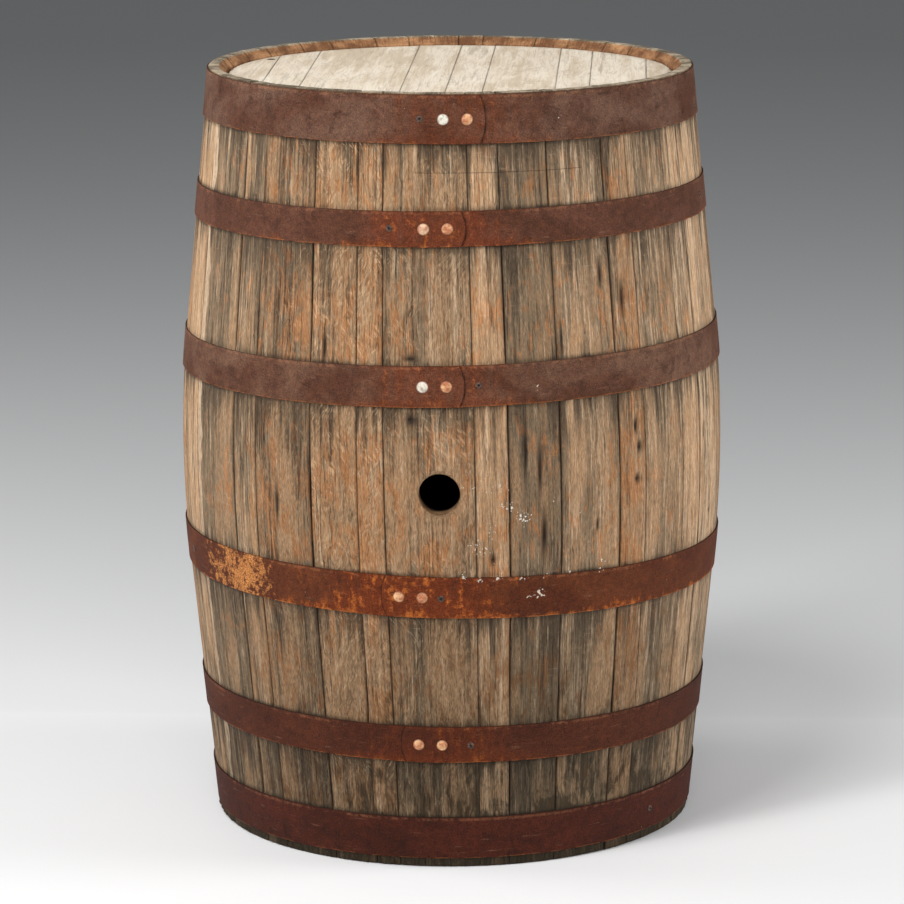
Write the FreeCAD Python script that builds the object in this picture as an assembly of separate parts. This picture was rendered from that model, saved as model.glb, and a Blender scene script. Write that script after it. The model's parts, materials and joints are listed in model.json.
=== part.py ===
import FreeCAD, Part
import math
import os

# An upright oak barrel. Millimetres, +Z up, the origin at the middle of the floor it
# stands on. Angles are in degrees, counted from the bung (-Y) towards +X.

# Overall sizes
BARREL_HEIGHT = 900.0
END_RADIUS = 284.5          # outside of the staves at their ends
BULGE = 37.5                # how far the staves swell out at mid height
BEND_HALF_LENGTH = 145.0    # the staves are curved this far above and below mid height

# Staves
STAVE_THICKNESS = 25.0
RIM_WIDTH = 12.0            # flat end grain left at the chime
HOWEL_LENGTH = 52.0         # smoothed band inside each end
JOINT_LEAN = 0.9            # the joints lean by this angle from upright
FIRST_JOINT = -11.3         # the joint on the left of the bung stave
STAVE_ANGLES = [
    18.6, 6.9, 11.1, 14.0, 7.1, 12.9, 7.7, 15.5, 10.9, 12.1, 10.1,
    14.2, 9.7, 11.8, 9.7, 14.3, 6.5, 13.2, 9.0, 13.0, 9.5,
    12.6, 10.3, 12.4, 9.3, 13.6, 9.8, 16.5, 7.0, 14.5, 10.5,
]                           # one more stave closes the ring

# Bung hole
BUNG_HOLE_RADIUS = 23.5

# Heads
HEAD_DEPTH = 10.0           # from the rim down to the head's outer face
HEAD_THICKNESS = 22.0
HEAD_SHOULDER = 7.0         # outer face of the head to the croze
CROZE_MOUTH = 7.0
CROZE_FLOOR = 5.0
CROZE_CUT = 5.0             # how deep the croze goes into the staves
HEAD_END_GAP = 0.3          # room between the head's edge and the croze floor
BEVEL_OUTSIDE = 5.0         # width of the bevel round the head's outer face
BEVEL_INSIDE = 8.0
TOP_BOARD_WIDTHS = [56.3, 46.0, 118.0, 52.0, 42.0, 82.0, 39.0, 65.0, 38.3]
BOTTOM_BOARD_WIDTHS = [52.0, 61.0, 74.0, 55.0, 88.0, 43.0, 70.0, 57.0, 38.6]

# Dowels between the head boards
DOWEL_RADIUS = 4.0
DOWEL_LENGTH = 36.0
DOWEL_PLACES = [0.5, 0.62]  # along the joint, from its middle, taken in turn

# Small hole bored in the first top board
SPILE_RADIUS = 5.0
SPILE_FROM_JOINT = 8.0
SPILE_FROM_EDGE = 24.0

# Hoops
HOOP_THICKNESS = 1.6
HOOP_FIT = 0.05             # between a hoop and the staves
LAP_RAMP = 18.0             # length over which the strip climbs on to its own end
LAP_RAMP_GAP = 1.5          # left between the ramp's top and the strip's inner end
LAP_END_BOW = 6.0           # how far the lap's rounded end bows out
RIVET_PITCH = 26.5
RIVET_TO_END = 21.0

# Each hoop: name, what its place is measured from, the distance to its middle, its width,
# its tilt (+X side up), the angle of its lap, the side its outer end points to, its screws
HOOPS = [
    ("hoop_top_head", "top", 29.2, 54.6, 0.0, 3.6, 1, [-4.1, 118.0, 236.0]),
    ("hoop_top_quarter", "top", 150.8, 40.0, 0.66, -0.7, 1, [-10.4, 78.0, 176.0]),
    ("hoop_top_bilge", "middle", 123.1, 46.5, 0.91, -0.9, 1, [7.9, 133.0, 247.0]),
    ("hoop_bottom_bilge", "middle", -120.7, 48.6, -1.06, -6.0, -1, [0.2, 168.0, 289.0]),
    ("hoop_bottom_quarter", "bottom", 151.5, 43.4, -0.38, -2.4, -1, [6.2, 124.0, 245.0]),
    ("hoop_bottom_head", "bottom", 36.2, 50.4, 0.16, 184.0, -1, [55.6, 178.0, 256.0]),
]

# Rivets
RIVET_SHANK_RADIUS = 3.0
RIVET_HEAD_RADIUS = 6.5
RIVET_HEAD_EDGE = 0.8
RIVET_HEAD_HEIGHT = 2.6

# Hoop screws
SCREW_SHANK_RADIUS = 1.7
SCREW_HEAD_RADIUS = 3.9
SCREW_HEAD_EDGE = 0.5
SCREW_HEAD_HEIGHT = 1.3
SCREW_LENGTH = 15.0
SCREW_POINT_LENGTH = 3.0
SCREW_RECESS_RADIUS = 1.3
SCREW_RECESS_DEPTH = 0.9

# Sizes that follow from the ones above
MIDDLE = BARREL_HEIGHT / 2
UP = FreeCAD.Vector(0, 0, 1)
ORIGIN = FreeCAD.Vector(0, 0, 0)
CUT_MARGIN = 20.0           # cutting tools run past what they cut by this much
SECTOR_MARGIN = 4.0         # degrees of spare round each stave before its edges are cut


def end_slope():
    """Angle of the straight ends, so that the bend and the ends add up to the bulge."""
    straight = MIDDLE - BEND_HALF_LENGTH
    low = 0.0
    high = math.radians(60)
    for _ in range(60):
        middle = (low + high) / 2
        swell = BEND_HALF_LENGTH * math.tan(middle / 2) + straight * math.tan(middle)
        if swell < BULGE:
            low = middle
        else:
            high = middle
    return low


SLOPE = end_slope()
BEND_RADIUS = BEND_HALF_LENGTH / math.sin(SLOPE)
BEND_CENTRE = END_RADIUS + BULGE - BEND_RADIUS


def bend_end(offset):
    """Distance from mid height at which the curve meets the straight end."""
    return BEND_HALF_LENGTH + offset * math.sin(SLOPE)


def radius_at(z, offset=0.0):
    """Radius of the outside of the staves at height z, moved out by offset."""
    away = abs(z - MIDDLE)
    if away < bend_end(offset):
        return BEND_CENTRE + math.sqrt((BEND_RADIUS + offset) ** 2 - away ** 2)
    straight = (MIDDLE - away) * math.tan(SLOPE)
    return END_RADIUS + straight + offset / math.cos(SLOPE)


def point(radius, z, angle=0.0):
    turn = math.radians(angle)
    return FreeCAD.Vector(radius * math.sin(turn), -radius * math.cos(turn), z)


def outline_edges(offset, z_low, z_high, angle=0.0):
    """The barrel's outline between two heights, as lines and arcs from low to high."""
    breaks = [z_low]
    for z in (MIDDLE - bend_end(offset), MIDDLE + bend_end(offset)):
        if z_low < z < z_high:
            breaks.append(z)
    breaks.append(z_high)
    edges = []
    for z_from, z_to in zip(breaks, breaks[1:]):
        z_half = (z_from + z_to) / 2
        start = point(radius_at(z_from, offset), z_from, angle)
        half = point(radius_at(z_half, offset), z_half, angle)
        end = point(radius_at(z_to, offset), z_to, angle)
        if abs(z_half - MIDDLE) < bend_end(offset):
            edges.append(Part.Arc(start, half, end).toShape())
        else:
            edges.append(Part.LineSegment(start, end).toShape())
    return edges


def polyline_edges(points):
    return [Part.LineSegment(a, b).toShape() for a, b in zip(points, points[1:])]


def wire_of(edges):
    return Part.Wire(Part.__sortEdges__(edges))


# Heads and the groove that holds them

SIGHT_RADIUS = radius_at(HOWEL_LENGTH, -STAVE_THICKNESS)
CROZE_TOP = HEAD_DEPTH + HEAD_SHOULDER
CROZE_CHAMFER = (CROZE_MOUTH - CROZE_FLOOR) / 2
CROZE_SLOPE = CROZE_CHAMFER / CROZE_CUT


def croze_depths(cut):
    """Distances from the barrel's end to the two sides of the croze, at a depth of cut."""
    return CROZE_TOP + cut * CROZE_SLOPE, CROZE_TOP + CROZE_MOUTH - cut * CROZE_SLOPE


def stave_end_points():
    """The inside of a stave's end as (radius, distance from the end), from the rim in."""
    near, far = croze_depths(CROZE_CUT)
    return [
        (END_RADIUS, 0.0),
        (END_RADIUS - RIM_WIDTH, 0.0),
        (SIGHT_RADIUS, HEAD_DEPTH),
        (SIGHT_RADIUS, CROZE_TOP),
        (SIGHT_RADIUS + CROZE_CUT, near),
        (SIGHT_RADIUS + CROZE_CUT, far),
        (SIGHT_RADIUS, CROZE_TOP + CROZE_MOUTH),
        (SIGHT_RADIUS, HOWEL_LENGTH),
    ]


def stave_section():
    """Lengthwise section of a stave, in the plane through the bung."""
    low = [point(radius, depth) for radius, depth in stave_end_points()]
    high = [point(radius, BARREL_HEIGHT - depth) for radius, depth in stave_end_points()]
    edges = outline_edges(0.0, 0.0, BARREL_HEIGHT)
    edges += outline_edges(-STAVE_THICKNESS, HOWEL_LENGTH, BARREL_HEIGHT - HOWEL_LENGTH)
    edges += polyline_edges(low) + polyline_edges(high)
    return Part.Face(wire_of(edges))


def head_section(sign, end_z):
    """Half section of a head; sign is -1 where it lies below the barrel's end."""
    tongue = CROZE_CUT - HEAD_END_GAP
    near, far = croze_depths(tongue)
    outside = HEAD_DEPTH
    inside = HEAD_DEPTH + HEAD_THICKNESS
    corners = [
        (0.0, outside),
        (SIGHT_RADIUS - BEVEL_OUTSIDE, outside),
        (SIGHT_RADIUS, CROZE_TOP),
        (SIGHT_RADIUS + tongue, near),
        (SIGHT_RADIUS + tongue, far),
        (SIGHT_RADIUS, CROZE_TOP + CROZE_MOUTH),
        (SIGHT_RADIUS - BEVEL_INSIDE, inside),
        (0.0, inside),
        (0.0, outside),
    ]
    points = [point(radius, end_z + sign * depth) for radius, depth in corners]
    return Part.Face(Part.makePolygon(points))


def head_disc(sign, end_z):
    return head_section(sign, end_z).revolve(ORIGIN, UP, 360)


def board_edges(widths):
    """X of each joint and of both rims, with the boards filling the head's width."""
    reach = SIGHT_RADIUS + CROZE_CUT - HEAD_END_GAP
    scale = 2 * reach / sum(widths)
    edges = [-reach]
    for width in widths:
        edges.append(edges[-1] + width * scale)
    return edges


def slab(x_low, x_high, z_low, z_high):
    reach = SIGHT_RADIUS + CUT_MARGIN
    corner = FreeCAD.Vector(x_low, -reach, z_low)
    return Part.makeBox(x_high - x_low, 2 * reach, z_high - z_low, corner)


def head_dowels(edges, mid_z):
    """Two pins across each joint, staggered so that neighbours never meet."""
    pins = []
    for number, x in enumerate(edges[1:-1]):
        half_joint = math.sqrt((SIGHT_RADIUS - BEVEL_INSIDE) ** 2 - x ** 2)
        place = half_joint * DOWEL_PLACES[number % len(DOWEL_PLACES)]
        for y in (-place, place):
            start = FreeCAD.Vector(x - DOWEL_LENGTH / 2, y, mid_z)
            axis = FreeCAD.Vector(1, 0, 0)
            pins.append(Part.makeCylinder(DOWEL_RADIUS, DOWEL_LENGTH, start, axis))
    return pins


def spile_hole(edges, end_z):
    """The small hole near the rim of the first top board."""
    x = edges[1] - SPILE_FROM_JOINT
    y = math.sqrt((SIGHT_RADIUS - BEVEL_OUTSIDE) ** 2 - x ** 2) - SPILE_FROM_EDGE
    depth = HEAD_DEPTH + HEAD_THICKNESS + CUT_MARGIN
    start = FreeCAD.Vector(x, y, end_z - depth)
    return Part.makeCylinder(SPILE_RADIUS, depth, start, UP)


def head_boards(name, widths, sign, end_z, holes):
    """The boards of one head and their dowels, as a dictionary of named shapes."""
    disc = head_disc(sign, end_z)
    edges = board_edges(widths)
    mid_z = end_z + sign * (HEAD_DEPTH + HEAD_THICKNESS / 2)
    pins = head_dowels(edges, mid_z)
    edges[0] -= CUT_MARGIN
    edges[-1] += CUT_MARGIN
    shapes = {}
    for number in range(len(widths)):
        x_low = edges[number]
        x_high = edges[number + 1]
        cutter = slab(x_low, x_high, mid_z - HEAD_THICKNESS, mid_z + HEAD_THICKNESS)
        board = disc.common(cutter)
        near = [pin for pin in pins if spans(pin, x_low, x_high)]
        shapes["%s_board_%d" % (name, number + 1)] = board.cut(near + holes)
    shapes["%s_dowels" % name] = Part.makeCompound(pins)
    return shapes


def spans(pin, x_low, x_high):
    return pin.BoundBox.XMax > x_low and pin.BoundBox.XMin < x_high


# Staves

def joint_angles():
    """Angle of every joint at mid height, from the left of the bung stave all round."""
    angles = [FIRST_JOINT]
    for width in STAVE_ANGLES:
        angles.append(angles[-1] + width)
    angles.append(FIRST_JOINT + 360.0)
    return angles


def joint_cutter(angle, side):
    """A block whose face is the joint's leaning plane; side is where the block lies."""
    reach = END_RADIUS + BULGE + CUT_MARGIN
    width = reach * math.radians(SECTOR_MARGIN) + BARREL_HEIGHT * math.radians(JOINT_LEAN)
    tall = BARREL_HEIGHT + 2 * CUT_MARGIN
    left = 0.0 if side > 0 else -2 * width
    block = Part.makeBox(2 * width, reach, tall, FreeCAD.Vector(left, -reach, -tall / 2))
    lean = FreeCAD.Rotation(FreeCAD.Vector(0, 1, 0), -JOINT_LEAN)
    turn = FreeCAD.Rotation(UP, angle)
    block.Placement = FreeCAD.Placement(FreeCAD.Vector(0, 0, MIDDLE), turn * lean)
    return block


def bung_cutter():
    start = point(END_RADIUS + BULGE + CUT_MARGIN, MIDDLE)
    length = STAVE_THICKNESS + 2 * CUT_MARGIN
    return Part.makeCylinder(BUNG_HOLE_RADIUS, length, start, FreeCAD.Vector(0, 1, 0))


def stave(section, start, end, screws):
    """One stave between two joints, with pilot holes for the hoop screws."""
    wide = section.rotated(ORIGIN, UP, start - SECTOR_MARGIN)
    wide = wide.revolve(ORIGIN, UP, end - start + 2 * SECTOR_MARGIN)
    tools = [joint_cutter(start, -1), joint_cutter(end, 1)]
    for angle, screw in screws:
        near = (angle - start + SECTOR_MARGIN) % 360 < end - start + 2 * SECTOR_MARGIN
        if near:
            tools.append(screw)
    return wide.cut(tools)


def staves(screws):
    section = stave_section()
    angles = joint_angles()
    shapes = {}
    for number, (start, end) in enumerate(zip(angles, angles[1:])):
        shapes["stave_%02d" % (number + 1)] = stave(section, start, end, screws)
    shapes["stave_01"] = shapes["stave_01"].cut(bung_cutter())
    return shapes


# Hoops

def hoop_height(place, distance):
    if place == "top":
        return BARREL_HEIGHT - distance
    if place == "middle":
        return MIDDLE + distance
    return distance


def height_on_hoop(mid_z, tilt, angle):
    """Height of a hoop's middle line at an angle; the tilt raises the +X side."""
    rise = math.tan(math.radians(tilt)) * math.sin(math.radians(angle))
    return mid_z + radius_at(mid_z) * rise


def strip_wire(layer, z_low, z_high, angle):
    """Section of the strip; layer 0 lies on the staves and layer 1 on layer 0."""
    inner = HOOP_FIT + layer * HOOP_THICKNESS
    outer = inner + HOOP_THICKNESS
    edges = outline_edges(inner, z_low, z_high, angle)
    edges += outline_edges(outer, z_low, z_high, angle)
    for z in (z_low, z_high):
        ends = [point(radius_at(z, inner), z, angle), point(radius_at(z, outer), z, angle)]
        edges += polyline_edges(ends)
    return wire_of(edges)


def strip_sector(layer, z_low, z_high, start, end):
    face = Part.Face(strip_wire(layer, z_low, z_high, start))
    return face.revolve(ORIGIN, UP, end - start)


def rounded_end_cutter(mid_z, angle, side, width):
    """What is left of a block once a disc as wide as the lap's bowed end is taken out."""
    bow_radius = ((width / 2) ** 2 + LAP_END_BOW ** 2) / (2 * LAP_END_BOW)
    reach = radius_at(mid_z)
    tall = width + 2 * CUT_MARGIN
    left = 0.0 if side > 0 else -bow_radius - CUT_MARGIN
    corner = FreeCAD.Vector(left, -reach - CUT_MARGIN, -tall / 2)
    block = Part.makeBox(bow_radius + CUT_MARGIN, 2 * CUT_MARGIN, tall, corner)
    disc_start = FreeCAD.Vector(0, -reach - CUT_MARGIN, 0)
    along = FreeCAD.Vector(0, 1, 0)
    disc = Part.makeCylinder(bow_radius, 2 * CUT_MARGIN, disc_start, along)
    cutter = block.cut(disc)
    centre = angle - side * math.degrees(bow_radius / reach)
    cutter.Placement = FreeCAD.Placement(
        FreeCAD.Vector(0, 0, mid_z), FreeCAD.Rotation(UP, centre))
    return cutter


def hoop_band(mid_z, width, tilt, lap_angle, side):
    """One strip bent into a ring, its outer end climbing over its inner end."""
    radius = radius_at(mid_z)
    to_degrees = math.degrees(1 / radius)
    lap_half = (RIVET_PITCH / 2 + RIVET_TO_END) * to_degrees
    half_tall = width / 2 + radius * math.tan(math.radians(abs(tilt))) + CUT_MARGIN / 4
    z_low = max(mid_z - half_tall, 0.0)
    z_high = min(mid_z + half_tall, BARREL_HEIGHT)
    inner_end = lap_angle - side * lap_half
    outer_end = lap_angle + side * lap_half
    ramp_top = inner_end - side * LAP_RAMP_GAP * to_degrees
    ramp_foot = ramp_top - side * LAP_RAMP * to_degrees
    around = side * 360.0 - (inner_end - ramp_foot)
    ring = strip_sector(0, z_low, z_high, inner_end, inner_end + around)
    feet = [strip_wire(0, z_low, z_high, ramp_foot), strip_wire(1, z_low, z_high, ramp_top)]
    ramp = Part.makeLoft(feet, True, True)
    lap = strip_sector(1, z_low, z_high, ramp_top, outer_end)
    lap_z = height_on_hoop(mid_z, tilt, outer_end)
    lap = lap.cut(rounded_end_cutter(lap_z, outer_end, side, width))
    band = ring.fuse([ramp, lap])
    return band.common(hoop_slab(mid_z, width, tilt))


def hoop_slab(mid_z, width, tilt):
    reach = END_RADIUS + BULGE + CUT_MARGIN
    corner = FreeCAD.Vector(-reach, -reach, -width / 2)
    block = Part.makeBox(2 * reach, 2 * reach, width, corner)
    tip = FreeCAD.Rotation(FreeCAD.Vector(0, 1, 0), -tilt)
    block.Placement = FreeCAD.Placement(FreeCAD.Vector(0, 0, mid_z), tip)
    return block


def outward_placement(angle, z, offset):
    """Puts a fastener drawn along +Z on the hoops, its axis square to the staves."""
    slope = math.copysign(min(abs(z - MIDDLE) / BEND_RADIUS, math.sin(SLOPE)), z - MIDDLE)
    away = math.degrees(math.asin(slope))
    lay_down = FreeCAD.Rotation(FreeCAD.Vector(1, 0, 0), 90 - away)
    turn = FreeCAD.Rotation(UP, angle)
    place = point(radius_at(z, offset), z, angle)
    return FreeCAD.Placement(place, turn * lay_down)


def turned(corners, dome_from, dome_top):
    """A body of revolution about Z: corners up the side, then a dome to the top."""
    edges = polyline_edges([FreeCAD.Vector(radius, 0, z) for radius, z in corners])
    rim = FreeCAD.Vector(*dome_from)
    top = FreeCAD.Vector(0, 0, dome_top)
    sphere = (rim.x ** 2 + (dome_top - rim.z) ** 2) / (2 * (dome_top - rim.z))
    half_turn = math.asin(rim.x / sphere) / 2
    half = FreeCAD.Vector(
        sphere * math.sin(half_turn), 0, dome_top - sphere * (1 - math.cos(half_turn)))
    edges.append(Part.Arc(rim, half, top).toShape())
    edges.append(Part.LineSegment(top, FreeCAD.Vector(0, 0, corners[0][1])).toShape())
    return Part.Face(wire_of(edges)).revolve(ORIGIN, UP, 360)


def rivet():
    """Drawn with its head's seat at z = 0; the tail ends flush with the strip below."""
    tail = -2 * HOOP_THICKNESS
    corners = [
        (0.0, tail),
        (RIVET_SHANK_RADIUS, tail),
        (RIVET_SHANK_RADIUS, 0.0),
        (RIVET_HEAD_RADIUS, 0.0),
        (RIVET_HEAD_RADIUS, RIVET_HEAD_EDGE),
    ]
    rim = (RIVET_HEAD_RADIUS, 0, RIVET_HEAD_EDGE)
    return turned(corners, rim, RIVET_HEAD_HEIGHT)


def screw_body():
    """Drawn with its head's seat at z = 0 and its point in the wood."""
    corners = [
        (0.0, -SCREW_LENGTH),
        (SCREW_SHANK_RADIUS, SCREW_POINT_LENGTH - SCREW_LENGTH),
        (SCREW_SHANK_RADIUS, 0.0),
        (SCREW_HEAD_RADIUS, 0.0),
        (SCREW_HEAD_RADIUS, SCREW_HEAD_EDGE),
    ]
    rim = (SCREW_HEAD_RADIUS, 0, SCREW_HEAD_EDGE)
    return turned(corners, rim, SCREW_HEAD_HEIGHT)


def screw():
    recess_foot = FreeCAD.Vector(0, 0, SCREW_HEAD_HEIGHT - SCREW_RECESS_DEPTH)
    recess = Part.makeCylinder(SCREW_RECESS_RADIUS, SCREW_HEAD_HEIGHT, recess_foot, UP)
    return screw_body().cut(recess)


def placed(shape, placement):
    copy = shape.copy()
    copy.Placement = placement
    return copy


def fasteners():
    """Rivets and screws of every hoop, each kept with its hoop's name and its angle."""
    rivets = []
    screws = []
    for name, place, distance, width, tilt, lap_angle, side, screw_angles in HOOPS:
        mid_z = hoop_height(place, distance)
        half_pitch = math.degrees(RIVET_PITCH / 2 / radius_at(mid_z))
        for angle in (lap_angle - half_pitch, lap_angle + half_pitch):
            z = height_on_hoop(mid_z, tilt, angle)
            seat = outward_placement(angle, z, HOOP_FIT + 2 * HOOP_THICKNESS)
            rivets.append((name, placed(rivet(), seat)))
        for angle in screw_angles:
            z = height_on_hoop(mid_z, tilt, angle)
            layers = layers_at(angle, mid_z, lap_angle, side)
            seat = outward_placement(angle, z, HOOP_FIT + layers * HOOP_THICKNESS)
            screws.append((name, angle, placed(screw(), seat), placed(screw_body(), seat)))
    return rivets, screws


def layers_at(angle, mid_z, lap_angle, side):
    """Thickness of the band at an angle, in strips: 2 on the lap, falling to 1 down its ramp."""
    away = side * math.radians((lap_angle - angle + 180) % 360 - 180) * radius_at(mid_z)
    lap_half = RIVET_PITCH / 2 + RIVET_TO_END
    down_ramp = (away - lap_half - LAP_RAMP_GAP) / LAP_RAMP
    if away < -lap_half:
        return 1.0
    return 2.0 - min(max(down_ramp, 0.0), 1.0)


def hoops(rivets, screws):
    shapes = {}
    for name, place, distance, width, tilt, lap_angle, side, _ in HOOPS:
        band = hoop_band(hoop_height(place, distance), width, tilt, lap_angle, side)
        tools = [shape for owner, shape in rivets if owner == name]
        tools += [body for owner, _, _, body in screws if owner == name]
        shapes[name] = band.cut(tools)
    return shapes


def build():
    rivets, screws = fasteners()
    shapes = staves([(angle, body) for _, angle, _, body in screws])
    shapes.update(hoops(rivets, screws))
    top_holes = [spile_hole(board_edges(TOP_BOARD_WIDTHS), BARREL_HEIGHT)]
    shapes.update(head_boards("top_head", TOP_BOARD_WIDTHS, -1, BARREL_HEIGHT, top_holes))
    shapes.update(head_boards("bottom_head", BOTTOM_BOARD_WIDTHS, 1, 0.0, []))
    shapes["hoop_rivets"] = Part.makeCompound([shape for _, shape in rivets])
    shapes["hoop_screws"] = Part.makeCompound([shape for _, _, shape, _ in screws])
    return shapes


os.makedirs("parts", exist_ok=True)
for node, shape in build().items():
    shape.exportStep(os.path.join("parts", node + ".step"))
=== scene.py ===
import json
import math

import bmesh
import bpy
import numpy as np
from bpy.props import FloatProperty, FloatVectorProperty, IntProperty
from mathutils import Matrix, Vector
from mathutils.geometry import tessellate_polygon


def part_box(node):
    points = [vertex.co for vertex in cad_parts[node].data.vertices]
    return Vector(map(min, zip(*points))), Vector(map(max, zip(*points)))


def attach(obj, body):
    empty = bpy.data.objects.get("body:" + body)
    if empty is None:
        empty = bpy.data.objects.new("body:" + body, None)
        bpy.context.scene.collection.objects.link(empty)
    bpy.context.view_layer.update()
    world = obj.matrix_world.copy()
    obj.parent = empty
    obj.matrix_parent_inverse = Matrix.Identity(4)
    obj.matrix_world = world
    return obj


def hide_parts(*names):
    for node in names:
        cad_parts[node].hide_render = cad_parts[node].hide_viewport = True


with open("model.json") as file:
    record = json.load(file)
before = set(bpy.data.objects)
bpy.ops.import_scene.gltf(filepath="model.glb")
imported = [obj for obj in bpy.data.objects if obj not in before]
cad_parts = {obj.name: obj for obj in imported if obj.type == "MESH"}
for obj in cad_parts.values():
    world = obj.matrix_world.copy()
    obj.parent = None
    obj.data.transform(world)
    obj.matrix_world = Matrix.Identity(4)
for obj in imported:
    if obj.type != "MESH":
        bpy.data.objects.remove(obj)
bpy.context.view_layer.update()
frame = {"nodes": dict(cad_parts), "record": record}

bl_info = {
    "name": "Oak barrel",
    "version": (1, 0, 0),
    "blender": (4, 5, 0),
    "location": "3D View > Sidebar > Barrel",
    "description": "Dresses a coopered oak barrel: staves, heads, hoops, rivets and screws",
    "category": "Object",
}

# Metres. Angles are counted from the bung (-Y) towards +X, in degrees unless said.

MM = 0.001
ROOT = "root"
NODES = frame["nodes"]
TURN = 2 * math.pi
# Nearer than this to an end counts as on it
AT_END = 0.05 * MM
HOOP_NAMES = (
    "hoop_top_head", "hoop_top_quarter", "hoop_top_bilge",
    "hoop_bottom_bilge", "hoop_bottom_quarter", "hoop_bottom_head",
)
# Tilt (+X side up), angle of the lap, and the side its outer end points to
HOOP_LIE = {
    "hoop_top_head": (0.0, 3.6, 1),
    "hoop_top_quarter": (0.66, -0.7, 1),
    "hoop_top_bilge": (0.91, -0.9, 1),
    "hoop_bottom_bilge": (-1.06, -6.0, -1),
    "hoop_bottom_quarter": (-0.38, -2.4, -1),
    "hoop_bottom_head": (0.16, 184.0, -1),
}


def linear(red, green, blue):
    """A colour as seen on a screen, 0 to 255, turned into the linear values nodes use."""
    def one(value):
        share = value / 255
        return share / 12.92 if share <= 0.04045 else ((share + 0.055) / 1.055) ** 2.4
    return (one(red), one(green), one(blue))


# ---------------------------------------------------------------- sizes and colours

class BarrelSettings(bpy.types.PropertyGroup):
    """Sizes and colours of the barrel that a user would change."""
    bend_half_length: FloatProperty(
        name="Bend half length", description="The staves are curved this far from mid height",
        default=0.145, unit="LENGTH")
    stave_thickness: FloatProperty(
        name="Stave thickness", description="Wall of the barrel", default=0.025, unit="LENGTH")
    howel_length: FloatProperty(
        name="Howel length", description="Smoothed band inside each end",
        default=0.052, unit="LENGTH")
    rim_width: FloatProperty(
        name="Rim width", description="Flat end grain of the staves", default=0.012, unit="LENGTH")
    joint_gap: FloatProperty(
        name="Joint gap", description="Half of the usual gap between two staves",
        default=0.00022, unit="LENGTH")
    grain_step: FloatProperty(
        name="Grain step", description="Spacing of the mesh across a stave",
        default=0.0016, unit="LENGTH")
    length_step: FloatProperty(
        name="Length step", description="Spacing of the mesh along a stave",
        default=0.0045, unit="LENGTH")
    hoop_thickness: FloatProperty(
        name="Hoop thickness", description="Thickness of the steel strip",
        default=0.0016, unit="LENGTH")
    rivet_pitch: FloatProperty(
        name="Rivet pitch", description="Distance between the two rivets of a lap",
        default=0.0265, unit="LENGTH")
    lap_end: FloatProperty(
        name="Lap end", description="From a rivet to the end of the strip",
        default=0.021, unit="LENGTH")
    bung_radius: FloatProperty(
        name="Bung hole radius", description="Radius of the bung hole",
        default=frame["record"]["mounts"][0]["dims"]["r_mm"] * MM, unit="LENGTH")
    spile_radius: FloatProperty(
        name="Spile hole radius", description="Radius of the small hole in the top head",
        default=frame["record"]["mounts"][1]["dims"]["r_mm"] * MM, unit="LENGTH")
    seed: IntProperty(
        name="Seed", description="Changes every random wear mark", default=7)
    oak_tan: FloatVectorProperty(
        name="Oak", description="Wood where it is least weathered", subtype="COLOR",
        size=3, default=linear(164, 130, 97))
    oak_grey: FloatVectorProperty(
        name="Grey oak", description="Wood gone grey in the weather", subtype="COLOR",
        size=3, default=linear(122, 103, 81))
    oak_dark: FloatVectorProperty(
        name="Stained oak", description="Iron and water stains", subtype="COLOR",
        size=3, default=linear(56, 45, 36))
    oak_orange: FloatVectorProperty(
        name="Warm oak", description="Heartwood showing through", subtype="COLOR",
        size=3, default=linear(162, 106, 62))
    oak_pale: FloatVectorProperty(
        name="Pale oak", description="Dry, scoured ridges of the grain", subtype="COLOR",
        size=3, default=linear(203, 175, 145))
    rust_orange: FloatVectorProperty(
        name="Fresh rust", description="Edges, laps and flaking patches", subtype="COLOR",
        size=3, default=linear(176, 96, 42))


def settings():
    return bpy.context.scene.barrel


# ------------------------------------------------------------------- node building

class Wire:
    """An output socket that can be used in ordinary arithmetic."""

    def __init__(self, tree, socket):
        self.tree = tree
        self.socket = socket

    def maths(self, operation, *others, **settings_):
        values = {0: self}
        values.update({number + 1: other for number, other in enumerate(others)})
        settings_["operation"] = operation
        return self.tree.node("ShaderNodeMath", settings_, values)

    def __add__(self, other):
        return self.maths("ADD", other)

    def __mul__(self, other):
        return self.maths("MULTIPLY", other)

    def __sub__(self, other):
        return self.maths("SUBTRACT", other)

    def __truediv__(self, other):
        return self.maths("DIVIDE", other)

    def __neg__(self):
        return self * -1.0

    def __rsub__(self, other):
        return (self * -1.0) + other

    __radd__ = __add__
    __rmul__ = __mul__

    def clamp(self):
        return self.maths("ADD", 0.0, use_clamp=True)

    def size(self):
        return self.maths("ABSOLUTE")

    def power(self, exponent):
        return self.maths("POWER", exponent)

    def least(self, other):
        return self.maths("MINIMUM", other)

    def most(self, other):
        return self.maths("MAXIMUM", other)

    def ease(self, low, high):
        """0 at low and 1 at high, with a soft start and end."""
        choices = {"interpolation_type": "SMOOTHSTEP"}
        return self.tree.node("ShaderNodeMapRange", choices, {0: self, 1: low, 2: high})


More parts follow.
